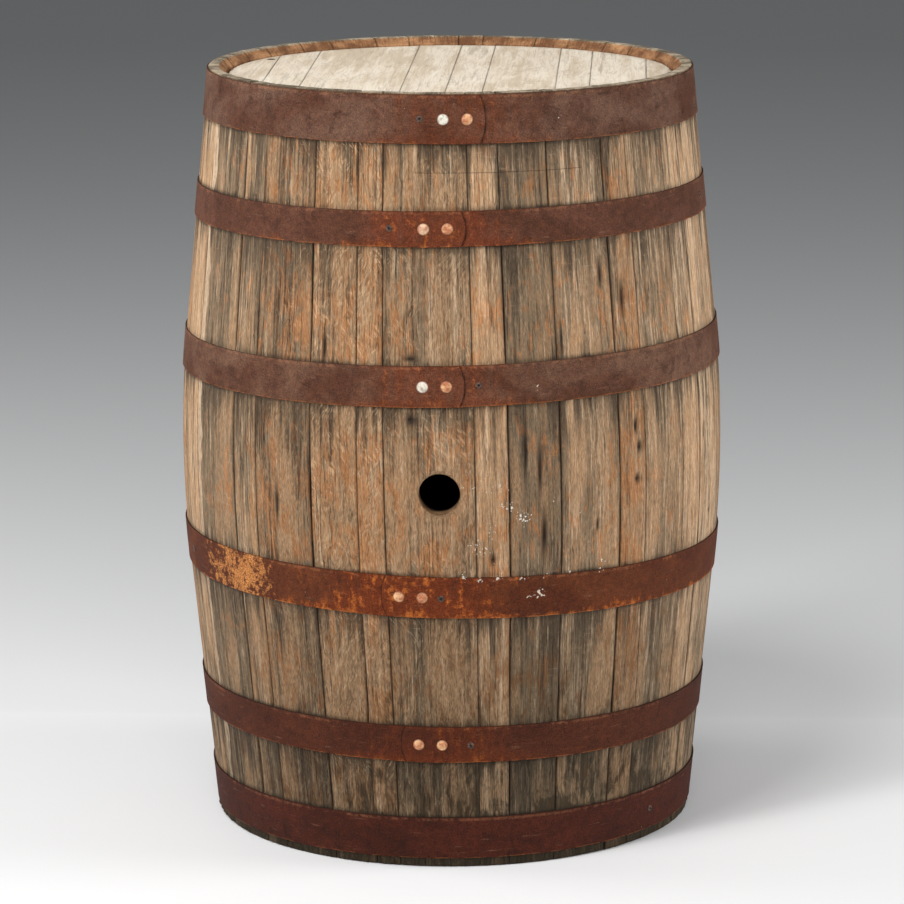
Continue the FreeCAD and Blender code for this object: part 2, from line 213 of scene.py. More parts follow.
class Tree:
    """A node tree written as calls; every node comes from the one method, node."""

    def __init__(self, tree):
        self.tree = tree

    def node(self, kind, choices=None, values=None, output=0):
        made = self.tree.nodes.new(kind)
        for name, value in (choices or {}).items():
            setattr(made, name, value)
        for key, value in (values or {}).items():
            self.feed(made.inputs[key], value)
        return Wire(self, made.outputs[output]) if made.outputs else made

    def feed(self, socket, value):
        if isinstance(value, Wire):
            self.tree.links.new(value.socket, socket)
        elif socket.type == "RGBA" and len(value) == 3:
            socket.default_value = (*value, 1.0)
        else:
            socket.default_value = value

    def vector(self, operation, first, second):
        choices = {"operation": operation}
        return self.node("ShaderNodeVectorMath", choices, {0: first, 1: second})

    def scaled(self, vector, scales):
        return self.vector("MULTIPLY", vector, scales)

    def joined(self, x=0.0, y=0.0, z=0.0):
        return self.node("ShaderNodeCombineXYZ", None, {0: x, 1: y, 2: z})

    def parts(self, vector):
        outputs = self.node("ShaderNodeSeparateXYZ", None, {0: vector}).socket.node.outputs
        return [Wire(self, outputs[axis]) for axis in range(3)]

    def noise(self, place, scales, detail=3.0, roughness=0.55, distortion=0.0):
        return self.node("ShaderNodeTexNoise", None, {
            "Vector": self.scaled(place, scales), "Scale": 1.0, "Detail": detail,
            "Roughness": roughness, "Distortion": distortion})

    def crazing(self, place, scales):
        """Distance to the nearest edge in a pattern of cells."""
        choices = {"feature": "DISTANCE_TO_EDGE"}
        values = {"Vector": self.scaled(place, scales), "Scale": 1.0}
        return self.node("ShaderNodeTexVoronoi", choices, values, "Distance")

    def blend(self, amount, first, second, mode="MIX"):
        choices = {"data_type": "RGBA", "blend_type": mode}
        values = {0: amount, 6: first, 7: second}
        return self.node("ShaderNodeMix", choices, values, 2)

    def layers(self, colour, *coats):
        """A colour with coats over it, each an amount and a colour, the last on top."""
        for amount, coat in coats:
            colour = self.blend(amount, colour, coat)
        return colour

    def shaded(self, colour, glow):
        """A colour made darker or lighter by a factor."""
        return self.blend(1.0, colour, self.joined(glow, glow, glow), "MULTIPLY")

    def read(self, name, output="Fac"):
        return self.node("ShaderNodeAttribute", {"attribute_name": name}, None, output)

    def object_place(self):
        return self.node("ShaderNodeTexCoord", None, None, "Object")

    def finish_surface(self, colour, roughness, height, depth, gloss=0.3):
        """Principled surface with a bump; gloss is its specular level."""
        bump = self.node("ShaderNodeBump", None, {
            "Strength": 1.0, "Distance": depth, "Height": height})
        surface = self.node("ShaderNodeBsdfPrincipled", None, {
            "Base Color": colour, "Roughness": roughness, "Normal": bump})
        surface.socket.node.inputs["Specular IOR Level"].default_value = gloss
        self.node("ShaderNodeOutputMaterial", None, {0: surface})

    def stored(self, geometry, name, value, kind="FLOAT", domain="POINT"):
        choices = {"data_type": kind, "domain": domain}
        values = {"Geometry": geometry, "Name": name, "Value": value}
        return self.node("GeometryNodeStoreNamedAttribute", choices, values)

    def finish_shape(self, geometry, material):
        """Makes instances real, gives them their material and ends the tree."""
        real = self.node("GeometryNodeRealizeInstances", None, {"Geometry": geometry})
        values = {"Geometry": real, "Material": material}
        dressed = self.node("GeometryNodeSetMaterial", None, values)
        self.node("NodeGroupOutput", None, {"Geometry": dressed})


def new_material(name):
    material = bpy.data.materials.new(name)
    material.use_nodes = True
    material.node_tree.nodes.clear()
    return material, Tree(material.node_tree)


# ---------------------------------------------------------------- shape of the barrel

def mesh_places(mesh):
    places = np.empty(len(mesh.vertices) * 3, np.float32)
    mesh.vertices.foreach_get("co", places)
    return places.reshape(-1, 3).astype(float)


def vertices_of(*names):
    """Every vertex of some frame nodes, and how far each is from the middle line."""
    places = np.concatenate([mesh_places(NODES[name].data) for name in names])
    return places, np.hypot(places[:, 0], places[:, 1])


class Outline:
    """The outside of the staves, read from the frame: a bend between straight ends."""

    def __init__(self, bend_half_length):
        places, radii = vertices_of(*stave_names())
        self.height = float(places[:, 2].max())
        self.middle = self.height / 2
        self.end_radius = float(radii[places[:, 2] < AT_END].max())
        self.bilge_radius = float(radii.max())
        self.bend = bend_half_length
        self.slope = self.end_slope()
        self.bend_radius = self.bend / math.sin(self.slope)

    def end_slope(self):
        """Slope of the straight ends, in radians, found by halving."""
        low, high = 0.0, 1.0
        straight = self.middle - self.bend
        for _ in range(60):
            angle = (low + high) / 2
            swell = self.bend * math.tan(angle / 2) + straight * math.tan(angle)
            if swell < self.bilge_radius - self.end_radius:
                low = angle
            else:
                high = angle
        return low

    def radius(self, z, offset=0.0):
        """Radius at a height, moved out by offset. Works on numbers and arrays."""
        away = np.abs(np.asarray(z, float) - self.middle)
        bend_end = self.bend + offset * math.sin(self.slope)
        inside = np.minimum(away, bend_end)
        centre = self.bilge_radius - self.bend_radius
        bent = centre + np.sqrt((self.bend_radius + offset) ** 2 - inside ** 2)
        straight = (self.middle - away) * math.tan(self.slope)
        cone = self.end_radius + straight + offset / math.cos(self.slope)
        return np.where(away < bend_end, bent, cone)

    def rise(self, z):
        """Change of radius with height at z."""
        away = z - self.middle
        angle = min(math.asin(min(abs(away) / self.bend_radius, 1.0)), self.slope)
        return -math.copysign(math.tan(angle), away)

    def curve(self, z):
        """Curvature along the staves at z."""
        return 1 / self.bend_radius if abs(z - self.middle) < self.bend else 0.0


def stave_names():
    return sorted(name for name in NODES if name.startswith("stave_"))


def place_of(radius, turn, z):
    """Point at an angle in radians from the bung."""
    return np.stack([radius * np.sin(turn), -radius * np.cos(turn), z + 0 * turn], -1)


def wrap(turn):
    """An angle in radians brought to between minus and plus half a turn."""
    return (turn + math.pi) % TURN - math.pi


class Joints:
    """The two leaning joint planes of a stave, read from its frame node."""

    def __init__(self, name, outline):
        places, radii = vertices_of(name)
        centre = places.mean(0)
        heading = math.atan2(centre[0], -centre[1])
        turn = wrap(np.arctan2(places[:, 0], -places[:, 1]) - heading)
        rim = radii > outline.end_radius - 0.1 * MM
        top = turn[rim & (places[:, 2] > outline.height - AT_END)]
        foot = turn[rim & (places[:, 2] < AT_END)]
        self.left = heading + (top.min() + foot.min()) / 2
        self.right = heading + (top.max() + foot.max()) / 2
        half_shift = (foot.min() - top.min()) / 2
        self.lean = outline.end_radius * math.sin(half_shift) / outline.middle


LATTICE = 128


def hash_noise(x, y, seed):
    """Smooth random values in 0 to 1, on a lattice of unit squares."""
    table = np.random.default_rng(seed).random((LATTICE, LATTICE))
    column = np.floor(x).astype(int)
    row = np.floor(y).astype(int)
    across = x - column
    along = y - row
    across = across * across * (3 - 2 * across)
    along = along * along * (3 - 2 * along)

    def corner(i, j):
        return table[(column + i) % LATTICE, (row + j) % LATTICE]

    near = corner(0, 0) * (1 - across) + corner(1, 0) * across
    far = corner(0, 1) * (1 - across) + corner(1, 1) * across
    return near * (1 - along) + far * along


# ------------------------------------------------------------------------ mesh tools

def mesh_object(name, places, faces):
    mesh = bpy.data.meshes.new(name)
    mesh.from_pydata(places.tolist(), [], faces)
    mesh.update()
    piece = bpy.data.objects.new(name, mesh)
    bpy.context.scene.collection.objects.link(piece)
    return piece


def quads(start, rows, columns):
    """Faces of a grid of places that are listed row by row from start."""
    for row in range(rows - 1):
        for column in range(columns - 1):
            a = start + row * columns + column
            yield (a, a + 1, a + columns + 1, a + columns)


def face_outwards(piece, merge=0.0):
    """Turns the faces outwards, after joining places nearer than merge."""
    shape = bmesh.new()
    shape.from_mesh(piece.data)
    if merge:
        bmesh.ops.remove_doubles(shape, verts=shape.verts, dist=merge)
        bmesh.ops.dissolve_degenerate(shape, edges=shape.edges, dist=merge / 2)
    bmesh.ops.recalc_face_normals(shape, faces=shape.faces)
    shape.to_mesh(piece.data)
    shape.free()


def shade(piece, sharp_degrees=38):
    piece.data.shade_smooth()
    piece.data.set_sharp_from_angle(angle=math.radians(sharp_degrees))


def add_values(mesh, name, values):
    layer = mesh.attributes.new(name, "FLOAT", "POINT")
    layer.data.foreach_set("value", np.asarray(values, np.float32))


def add_grain(mesh, across, along):
    """UV map that runs across and along the grain, in metres."""
    layer = mesh.uv_layers.new(name="Grain")
    corners = np.empty(len(mesh.loops), np.int32)
    mesh.loops.foreach_get("vertex_index", corners)
    pairs = np.stack([across[corners], along[corners]], -1).astype(np.float32)
    layer.data.foreach_set("uv", pairs.ravel())


def settle(piece):
    """Replaces a piece's modifiers by the mesh that they make."""
    graph = bpy.context.evaluated_depsgraph_get()
    mesh = bpy.data.meshes.new_from_object(
        piece.evaluated_get(graph), preserve_all_data_layers=True, depsgraph=graph)
    piece.modifiers.clear()
    old = piece.data
    piece.data = mesh
    mesh.name = piece.name
    bpy.data.meshes.remove(old)


def drill(piece, cutter):
    """Cuts the cutter's shape out of a piece, then removes the cutter."""
    cut = piece.modifiers.new("Hole", "BOOLEAN")
    cut.operation = "DIFFERENCE"
    cut.solver = "EXACT"
    cut.material_mode = "TRANSFER"
    cut.object = cutter
    settle(piece)
    bpy.data.objects.remove(cutter)


def turned_shape(name, profile, place, axis, sides=48):
    """A closed shape turned about an axis from (radius, distance along it) points."""
    to_axis = Vector(axis).normalized().to_track_quat("Z", "Y").to_matrix().to_4x4()
    shift = Matrix.Translation(Vector(place)) @ to_axis
    places = []
    for radius, along in profile:
        for side in range(sides):
            angle = TURN * side / sides
            places.append(shift @ Vector(
                (radius * math.cos(angle), radius * math.sin(angle), along)))
    faces = []
    for base in range(0, (len(profile) - 1) * sides, sides):
        for side in range(sides):
            after = (side + 1) % sides
            faces.append((base + side, base + after, base + sides + after, base + sides + side))
    last = (len(profile) - 1) * sides
    faces.append(tuple(range(sides))[::-1])
    faces.append(tuple(range(last, last + sides)))
    piece = mesh_object(name, np.array(places), faces)
    face_outwards(piece)
    return piece


def dress(piece, slot, *replaced):
    if not piece.data.polygons or not piece.data.materials:
        raise RuntimeError("%s came out empty or with no material" % piece.name)
    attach(piece, ROOT)
    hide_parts(*replaced)


# ------------------------------------------------------------------------- materials

# Heights between which the rim turns from warm wood to bare, weathered wood
BARE_RIM = (0.8982, 0.8992)
# Places across the wall between which the bung hole turns burnt
BURNT_BORE = (-0.306, -0.299)


def grain_place(tree):
    """Grain coordinates of a wooden piece, with a shift of its own."""
    uv = tree.node("ShaderNodeUVMap", {"uv_map": "Grain"})
    return tree.vector("ADD", uv, tree.joined(0.0, 0.0, tree.read("own_shift")))


def paint_specks(tree):
    """Splashes of white paint where the paint value says there are any."""
    place = tree.object_place()
    drops = tree.noise(place, (330, 330, 270), 2.0, 0.5)
    return (drops + tree.read("paint") * 0.27).ease(0.80, 0.84)


def weathered_oak(name):
    """Outside of the staves: grey and brown streaks, checks, ray flecks and stains."""
    look = settings()
    material, tree = new_material(name)
    grain = grain_place(tree)
    fine = tree.noise(grain, (1050, 170, 1), 2.0, 0.6)
    fibre = tree.noise(grain, (480, 32, 1), 5.0, 0.72, 0.2)
    streak = tree.noise(grain, (150, 7, 1), 6.0, 0.72, 0.35)
    band = tree.noise(grain, (40, 3.6, 1), 4.0, 0.62, 0.5)
    patch = tree.noise(grain, (20, 14, 1), 5.0, 0.68, 0.6)
    smear = tree.noise(grain, (100, 24, 1), 5.0, 0.7, 1.2)
    stain = tree.read("stain")
    grey = tree.read("grey")
    light = tree.read("light")
    warm = tree.read("warm")
    fleck = tree.read("fleck")
    sap = tree.read("sap")
    greyed = grey + (band - 0.5) * 2.4 + (patch - 0.5) * 1.8 + stain * 0.3
    warmed = warm + (smear - 0.5) * 4.0 + (patch - 0.5) * 3.4 - stain * 0.4
    bold = 1.15 - light * 0.6
    pale = (streak - 0.5) * 3.8 * bold + (fibre - 0.5) * 2.6 + light * 0.85
    gloom = ((0.5 - streak) * 4.0 + (band - 0.5) * 1.8) * bold + stain
    gloom = gloom + grey * 0.3 - light * 0.35 - sap * 0.8
    figure = (tree.noise(grain, (75, 15, 1), 3.0, 0.6, 1.1) - 0.5).size()
    flame = (1 - figure.ease(0.006, 0.035)) * (fleck + warm * 0.4).clamp()
    ray = ray_flecks(tree, grain, patch) * fleck
    saw = tree.noise(grain, (38, 430, 1), 3.0, 0.6).ease(0.6, 0.68) * patch.ease(0.46, 0.56)
    vein = (tree.noise(grain, (190, 5.5, 1), 4.0, 0.62, 0.4) - 0.5).size()
    # Checks in the grain; their darkening in the colour is painted shade.
    crack = (1 - vein.ease(0.002, 0.014)) * band.ease(0.4, 0.58)
    line = (fibre.ease(0.56, 0.68) * 0.55 + crack * 0.8).clamp()
    deep = tree.read("mark") * (0.35 + fibre * 0.6 + fine * 0.7)
    bare = tree.layers(
        look.oak_tan,
        (greyed.ease(0.2, 0.8), look.oak_grey),
        (warmed.ease(0.4, 1.1) * 0.7, look.oak_orange),
        (pale.ease(0.6, 1.15) * 0.55, look.oak_pale),
        (gloom.ease(0.2, 0.95) * 0.72, look.oak_dark),
        (sap * 0.75, look.oak_pale),
        (flame * 0.45, linear(96, 66, 42)),
        (ray * 0.5, linear(200, 168, 132)),
        (saw * 0.12, linear(208, 180, 150)),
        # Dark fibre lines, and painted shade in the checks.
        (line * 0.6, linear(48, 36, 27)),
        # The joint value darkens the stave joints and also paints shade along the hoops' edges.
        ((tree.read("joint") * 0.9).clamp(), linear(22, 17, 13)),
        (deep.clamp(), linear(34, 26, 20)))
    z = tree.parts(tree.object_place())[2]
    # Brightness: the stave's tone and grain, with a ramp of painted light and shade that makes the
    # wood lighter towards the top and darker towards the bottom.
    glow = light * 0.6 + (fine - 0.5) * 1.5 + (fibre - 0.5) * 1.1 + 0.68
    glow = glow + (patch - 0.5) * 1.0 + (band - 0.5) * 0.7 + (z - 0.45) * 0.3
    mould = (patch * 1.4 + smear - 0.7).ease(0.35, 0.8)
    # Grime together with painted shade low on the staves, broken up by mould patches.
    grime_and_shade_share = (tree.read("grime") * (0.45 + mould * 1.1)).clamp()
    paint = paint_specks(tree)
    colour = tree.layers(
        tree.shaded(bare, glow),
        (grime_and_shade_share * 0.88, linear(44, 38, 27)),
        (paint, linear(222, 214, 200)))
    height = fibre * -0.6 + fine * 0.4 + crack * -1.2 + ray * 0.2 + paint * 0.5
    tree.finish_surface(colour, (0.72 + fine * 0.25).clamp(), height, 1.1 * MM, 0.15)
    return material


def ray_flecks(tree, grain, patch):
    """Short pale scratches leaning across the grain, one way or the other in patches."""
    u, v, w = tree.parts(grain)
    leaning = 0.0
    for tilt, low, high in ((0.62, 0.5, 0.56), (-0.5, 0.5, 0.44)):
        along = v * math.cos(tilt) - u * math.sin(tilt)
        across = u * math.cos(tilt) + v * math.sin(tilt)
        marks = tree.noise(tree.joined(across, along, w), (200, 48, 1), 3.0, 0.6, 1.6)
        leaning = marks.ease(0.5, 0.64) * patch.ease(low, high) + leaning
    return leaning


def rim_oak(name):
    """End grain and inner bevel at the chimes: pale weathered top, warm brown below."""
    material, tree = new_material(name)
    grain = grain_place(tree)
    place = tree.object_place()
    z = tree.parts(place)[2]
    pores = tree.noise(grain, (900, 260, 1), 3.0, 0.7)
    rays = tree.noise(grain, (520, 60, 1), 4.0, 0.7)
    patch = tree.noise(place, (34, 34, 70), 4.0, 0.66)
    tone = (patch - 0.5) * 2.4 + (rays - 0.5) * 1.6 + tree.read("light") * 0.5
    bare = tree.layers(linear(100, 88, 72), (tone.ease(-0.1, 0.7), linear(184, 168, 144)))
    foot = tree.layers(linear(20, 15, 11), (pores.ease(0.42, 0.6), linear(58, 44, 30)))
    colour = tree.layers(
        linear(110, 73, 48),
        (tone.ease(-0.1, 0.8), linear(190, 142, 100)),
        (rays.ease(0.52, 0.66) * 0.45, linear(74, 48, 32)),
        (z.ease(*BARE_RIM), bare),
        (pores.ease(0.5, 0.68) * 0.45, linear(74, 60, 44)),
        # The joint value also paints shade along the hoops' edges.
        ((tree.read("joint") * 0.85).clamp(), linear(28, 20, 14)),
        ((1 - z.ease(0.0, 0.05)) * 0.95, foot))
    rough = (0.75 + patch * 0.2).clamp()
    tree.finish_surface(colour, rough, pores * 0.6 + rays * 0.6, 0.9 * MM, 0.15)
    return material


def charred_oak(name):
    """Inside of the staves: burnt black and crazed. The small hole in the top head wears it as
    painted shade.
    """
    material, tree = new_material(name)
    place = tree.object_place()
    crazing = tree.crazing(place, (160, 160, 90))
    soot = tree.noise(place, (60, 60, 25), 3.0)
    colour = tree.layers(
        linear(13, 11, 10),
        (soot.ease(0.4, 0.7), linear(30, 25, 21)),
        ((1 - crazing.ease(0.0, 0.08)) * 0.7, linear(6, 5, 5)))
    tree.finish_surface(colour, 0.85 + soot * 0.1, crazing.least(0.2) * 4.0, 1.2 * MM, 0.2)
    return material


def bored_oak(name):
    """Cut wall of the bung hole: bare oak, stained by what ran over it."""
    material, tree = new_material(name)
    place = tree.object_place()
    grain = tree.noise(place, (500, 500, 40), 3.0, 0.6)
    patch = tree.noise(place, (60, 60, 60), 3.0)
    colour = tree.layers(
        linear(98, 72, 48),
        (patch.ease(0.35, 0.7), linear(150, 116, 82)),
        (grain.ease(0.5, 0.75) * 0.5, linear(60, 42, 28)),
        (tree.parts(place)[1].ease(*BURNT_BORE), linear(18, 14, 12)))
    tree.finish_surface(colour, (0.7 + grain * 0.2).clamp(), grain, 0.5 * MM, 0.25)
    return material


def bleached_oak(name, pale, mid, dark, stain_amount):
    """Head boards, pale and dry, with water marks and scuffs."""
    material, tree = new_material(name)
    grain = grain_place(tree)
    place = tree.object_place()
    fibre = tree.noise(grain, (620, 16, 1), 4.0, 0.7)
    streak = tree.noise(grain, (120, 5, 1), 5.0, 0.68, 0.6)
    cloud = tree.noise(place, (15, 2.6, 9), 5.0, 0.64, 0.3)
    scuff = tree.noise(place, (30, 6, 26), 5.0, 0.66, 0.6)
    ring = (tree.noise(grain, (34, 5, 1), 3.0, 0.6, 1.6) - 0.5).size()
    tone = (streak - 0.5) * 2.0 + (cloud - 0.5) * 3.0 + (scuff - 0.5) * 1.4
    tone = tone + tree.read("light") * 0.45 + 0.3
    water = ((cloud - 0.5) * 3.0 + (streak - 0.5) * 3.0).ease(0.1, 0.8)
    colour = tree.layers(
        mid,
        (tone.ease(0.0, 0.95), pale),
        (water * stain_amount, dark),
        (fibre.ease(0.54, 0.72) * 0.4, dark),
        ((1 - ring.ease(0.004, 0.03)) * 0.22, dark),
        (scuff.ease(0.58, 0.7) * 0.5, linear(236, 228, 214)),
        ((tree.read("joint") * 0.8).clamp(), linear(70, 50, 34)),
        ((tree.read("mark") * 0.8).clamp(), dark))
    height = fibre * -0.6 + streak * 0.4
    tree.finish_surface(colour, (0.7 + cloud * 0.2).clamp(), height, 0.7 * MM, 0.2)
    return material


def rusted_strip(name, brown, orange_share, sheen, patch_at=None):
    """Hoop steel: old rust, mottled, brighter at its edges and round the rivets."""
    material, tree = new_material(name)
    strip = tree.node("ShaderNodeUVMap", {"uv_map": "Strip"})
    place = tree.object_place()
    cloud = tree.noise(place, (9, 9, 14), 5.0, 0.62, 0.5)
    blotch = tree.noise(place, (45, 45, 50), 5.0, 0.68, 0.4)
    mottle = tree.noise(place, (150, 150, 150), 4.0, 0.7)
    grit = tree.noise(strip, (560, 560, 1), 3.0, 0.7)
    drip = tree.noise(strip, (110, 12, 1), 4.0, 0.62)
    scuff = tree.noise(strip, (24, 260, 1), 3.0, 0.6)
    low = tree.read("low_edge")
    high = tree.read("high_edge")
    near_low = 1 - low.ease(0.0, 0.012)
    near_high = 1 - high.ease(0.0, 0.007)
    near_lap = 1 - tree.read("from_lap").ease(0.02, 0.16)
    lap_rust = near_lap * (0.25 + drip * 0.7 + cloud * 0.3)
    edge_rust = near_low * (0.2 + blotch) * 0.6 + near_high * (blotch - 0.1) * 0.4
    bloom = (cloud - 0.5) * 3.0 + (drip - 0.5) * 1.4 + (blotch - 0.45) * 1.5
    fresh = edge_rust * (0.5 + orange_share * 0.7) + lap_rust * (0.7 + orange_share)
    fresh = (fresh + bloom * orange_share).ease(0.25, 1.05)
    bright = (mottle - 0.5) * 1.6 + (blotch - 0.5) * 2.0 + (drip - 0.5) * 1.6
    bright = bright + orange_share * 0.3 + near_low * orange_share * 0.25
    orange = settings().rust_orange
    reddish = tree.layers(linear(108, 50, 26), (bright.ease(0.25, 0.8), orange))
    colour = tree.layers(
        brown,
        (cloud.ease(0.36, 0.64), sheen),
        (blotch.ease(0.5, 0.72) * 0.38, linear(52, 29, 20)),
        (fresh * (0.5 + orange_share * 0.45), reddish))
    if patch_at is not None:
        near = 1 - (tree.parts(strip)[0] - patch_at).size().ease(0.015, 0.115)
        crust = (blotch * 0.6 + mottle * 0.5 + near * 0.22).ease(0.68, 0.82)
        flaky = tree.layers(linear(158, 88, 40), (grit.ease(0.4, 0.6), linear(206, 144, 84)))
        colour = tree.layers(colour, (near.ease(0.0, 0.5) * crust * 0.8, flaky))
    lip = (1 - low.ease(0.0004, 0.002)) * blotch.ease(0.42, 0.56)
    soil = blotch.ease(0.54, 0.62) * mottle.ease(0.45, 0.6) * (1 - orange_share)
    ridge = 1 - (high - 0.0025).size().ease(0.0005, 0.0025)
    worn = ridge * (cloud + mottle - 0.5).ease(0.45, 0.62)
    # Painted shadow along the step where the lap's outer end lies on the strip.
    lap_shade = 1 - tree.read("lap_line").ease(0.0004, 0.0016)
    colour = tree.layers(
        colour,
        (scuff.ease(0.62, 0.74) * 0.3, linear(140, 104, 84)),
        (lip * (0.25 + orange_share * 0.4), linear(178, 108, 60)),
        (soil * 0.6, linear(26, 15, 11)),
        ((1 - high.ease(0.0, 0.0012)) * 0.5, linear(30, 18, 13)),
        (worn * 0.2, linear(160, 108, 74)),
        (lap_shade * 0.75, linear(34, 18, 12)))
    paint = paint_specks(tree)
    colour = tree.layers(
        tree.shaded(colour, 0.95 + (grit - 0.5) * 2.2 + (mottle - 0.5) * 1.5),
        (paint * 0.9, linear(214, 200, 184)))
    height = mottle * 0.7 + grit * 0.5 + blotch * 0.6 + paint * 0.3
    rough = (0.6 + mottle * 0.35 + fresh * 0.15).clamp()
    tree.finish_surface(colour, rough, height, 1.0 * MM, 0.12)
    return material


def hammered_metal(name):
    """Rivet heads: zinc or copper-coloured rust by each rivet's own value."""
    material, tree = new_material(name)
    place = tree.object_place()
    pits = tree.noise(place, (330, 330, 330), 3.0, 0.65)
    patch = tree.noise(place, (120, 120, 120), 2.0, 0.6)
    rust = tree.layers(linear(176, 104, 64), (patch.ease(0.35, 0.65), linear(226, 176, 128)))
    white = tree.layers(linear(168, 162, 146), (patch.ease(0.3, 0.6), linear(226, 220, 204)))
    # Partly rust and partly painted shade: each head darkens towards its rim.
    rim = 1 - tree.read("crown").ease(0.1, 0.5)
    colour = tree.layers(
        rust,
        (tree.read("zinc"), white),
        (rim * 0.7, linear(112, 66, 42)),
        (pits.ease(0.55, 0.72) * 0.6, linear(96, 56, 36)))
    tree.finish_surface(colour, (0.42 + pits * 0.3).clamp(), pits, 0.5 * MM, 0.5)
    return material


def dark_steel(name):
    """Screw heads: brown steel, with painted shade in black down in the drive hole."""
    material, tree = new_material(name)
    pits = tree.noise(tree.object_place(), (400, 400, 400), 3.0, 0.65)
    colour = tree.layers(
        linear(44, 30, 23),
        (pits.ease(0.4, 0.65), linear(104, 74, 58)),
        (tree.read("hollow"), linear(10, 8, 7)))
    tree.finish_surface(colour, (0.5 + pits * 0.3).clamp(), pits, 0.4 * MM, 0.45)
    return material


def plain_oak(name):
    """Dowels, hidden between the head boards."""
    material, tree = new_material(name)
    grain = tree.noise(tree.object_place(), (14, 600, 600), 3.0, 0.6)
    colour = tree.layers(linear(150, 116, 80), (grain.ease(0.35, 0.7), linear(194, 160, 118)))
    tree.finish_surface(colour, (0.6 + grain * 0.2).clamp(), grain, 0.3 * MM, 0.3)
    return material


# ---------------------------------------------------------------------------- staves

# How each stave looks: light, grey, warm, flecked, each from 0 to 1
STAVE_LOOKS = {
    1: (0.48, 0.4, 0.6, 0.6), 2: (0.72, 0.25, 0.6, 0.1), 3: (0.42, 0.7, 0.45, 0.1),
    4: (0.66, 0.5, 0.4, 0.2), 5: (0.56, 0.3, 0.75, 0.2), 6: (0.68, 0.5, 0.35, 0.2),
    7: (0.9, 0.35, 0.25, 0.2), 8: (0.95, 0.4, 0.1, 0.1), 27: (0.85, 0.35, 0.15, 0.1),
    28: (0.5, 0.65, 0.3, 0.2), 29: (0.54, 0.45, 0.45, 0.1), 30: (0.34, 0.52, 0.75, 0.4),
    31: (0.42, 0.35, 0.75, 1.0), 32: (0.55, 0.2, 0.95, 1.0),
}

# Dark marks on the wood: angle, height, half width, half length, depth of the hollow
WOOD_MARKS = (
    (43.6, 0.512, 0.0035, 0.012, 0.0020), (44.6, 0.487, 0.0045, 0.010, 0.0022),
    (44.0, 0.450, 0.0050, 0.007, 0.0020), (69.0, 0.482, 0.0025, 0.011, 0.0016),
    (33.7, 0.404, 0.0022, 0.011, 0.0014), (73.5, 0.382, 0.0030, 0.005, 0.0008),
    (-5.7, 0.535, 0.0080, 0.009, 0.0006), (-5.9, 0.604, 0.0100, 0.005, 0.0004),
    (20.6, 0.475, 0.0035, 0.040, 0.0005), (21.6, 0.400, 0.0045, 0.032, 0.0007),
    (17.6, 0.500, 0.0030, 0.045, 0.0004), (10.8, 0.373, 0.0040, 0.008, 0.0006),
    (-36.0, 0.425, 0.0030, 0.030, 0.0005), (-24.6, 0.612, 0.0030, 0.026, 0.0005),
    (36.0, 0.690, 0.0030, 0.020, 0.0008), (41.5, 0.660, 0.0040, 0.024, 0.0008),
    (26.0, 0.620, 0.0025, 0.030, 0.0006), (112.0, 0.530, 0.0030, 0.024, 0.0014),
    (158.0, 0.470, 0.0050, 0.012, 0.0018), (201.0, 0.400, 0.0030, 0.030, 0.0014),
    (262.0, 0.520, 0.0040, 0.014, 0.0016), (48.4, 0.1226, 0.0024, 0.0024, 0.0012),
)
# How open and dark the joint on the left of a stave is, from 0 to 1
JOINT_WEAR = {
    28: 0.5, 29: 1.0, 30: 0.75, 31: 0.95, 32: 0.5, 1: 0.65, 2: 0.6, 3: 0.9, 4: 0.9,
    5: 0.9, 6: 0.45, 7: 0.45, 8: 0.95, 9: 0.9,
}
USUAL_WEAR = 0.6
# Pale sapwood with a wavy edge: stave, side of it (-1 left, 1 right), usual width
SAPWOOD = {28: (-1, 0.013), 11: (-1, 0.016), 19: (1, 0.022), 24: (-1, 0.014)}
# Splashes of paint: angle, height, radius and how thick they lie
PAINT_SPLASHES = (
    (14.1, 0.434, 0.011, 1.0), (16.2, 0.424, 0.008, 0.9), (17.3, 0.421, 0.010, 1.0),
    (18.4, 0.426, 0.006, 0.8), (11.0, 0.409, 0.018, 0.6), (7.7, 0.387, 0.016, 0.8),
    (9.6, 0.380, 0.012, 0.7), (10.5, 0.395, 0.020, 0.5), (7.0, 0.460, 0.028, 0.45),
    (12.5, 0.455, 0.020, 0.6), (24.0, 0.440, 0.020, 0.45), (30.0, 0.420, 0.012, 0.6),
    (4.5, 0.354, 0.010, 0.9), (8.0, 0.352, 0.008, 0.8), (12.0, 0.351, 0.010, 0.8),
    (16.5, 0.350, 0.010, 0.8), (22.0, 0.351, 0.008, 0.6), (28.0, 0.354, 0.010, 0.6),
    (34.5, 0.357, 0.012, 0.6), (20.8, 0.331, 0.009, 0.95), (18.8, 0.327, 0.008, 0.85),
    (20.2, 0.570, 0.007, 0.85), (19.3, 0.555, 0.005, 0.8), (27.5, 0.872, 0.006, 0.9),
)
# Below this the staves stand in dirt
FOOT_HEIGHT = 0.0115
# The cooper's scribed line: its height, and the angles that it runs between
SCRIBE_HEIGHT = 0.811
SCRIBE_ENDS = (-5.0, 33.0)
# How far iron stains reach below and above a hoop
STAIN_BELOW = 0.055
STAIN_ABOVE = 0.014
# The croze, the groove for a head: depths from the end of the staves, and its depth
CROZE_MOUTH = 0.017
CROZE_EDGES = (0.018, 0.023)
CROZE_DEPTH = 0.005
# Columns and rows of the coarse mesh inside a stave
INNER_COLUMNS = 5
INNER_ROWS = 30
# Where the bung cutter starts, inside the wall, and how far the hole's edge is worn
BUNG_START = 0.262
BUNG_WEAR = 0.8 * MM


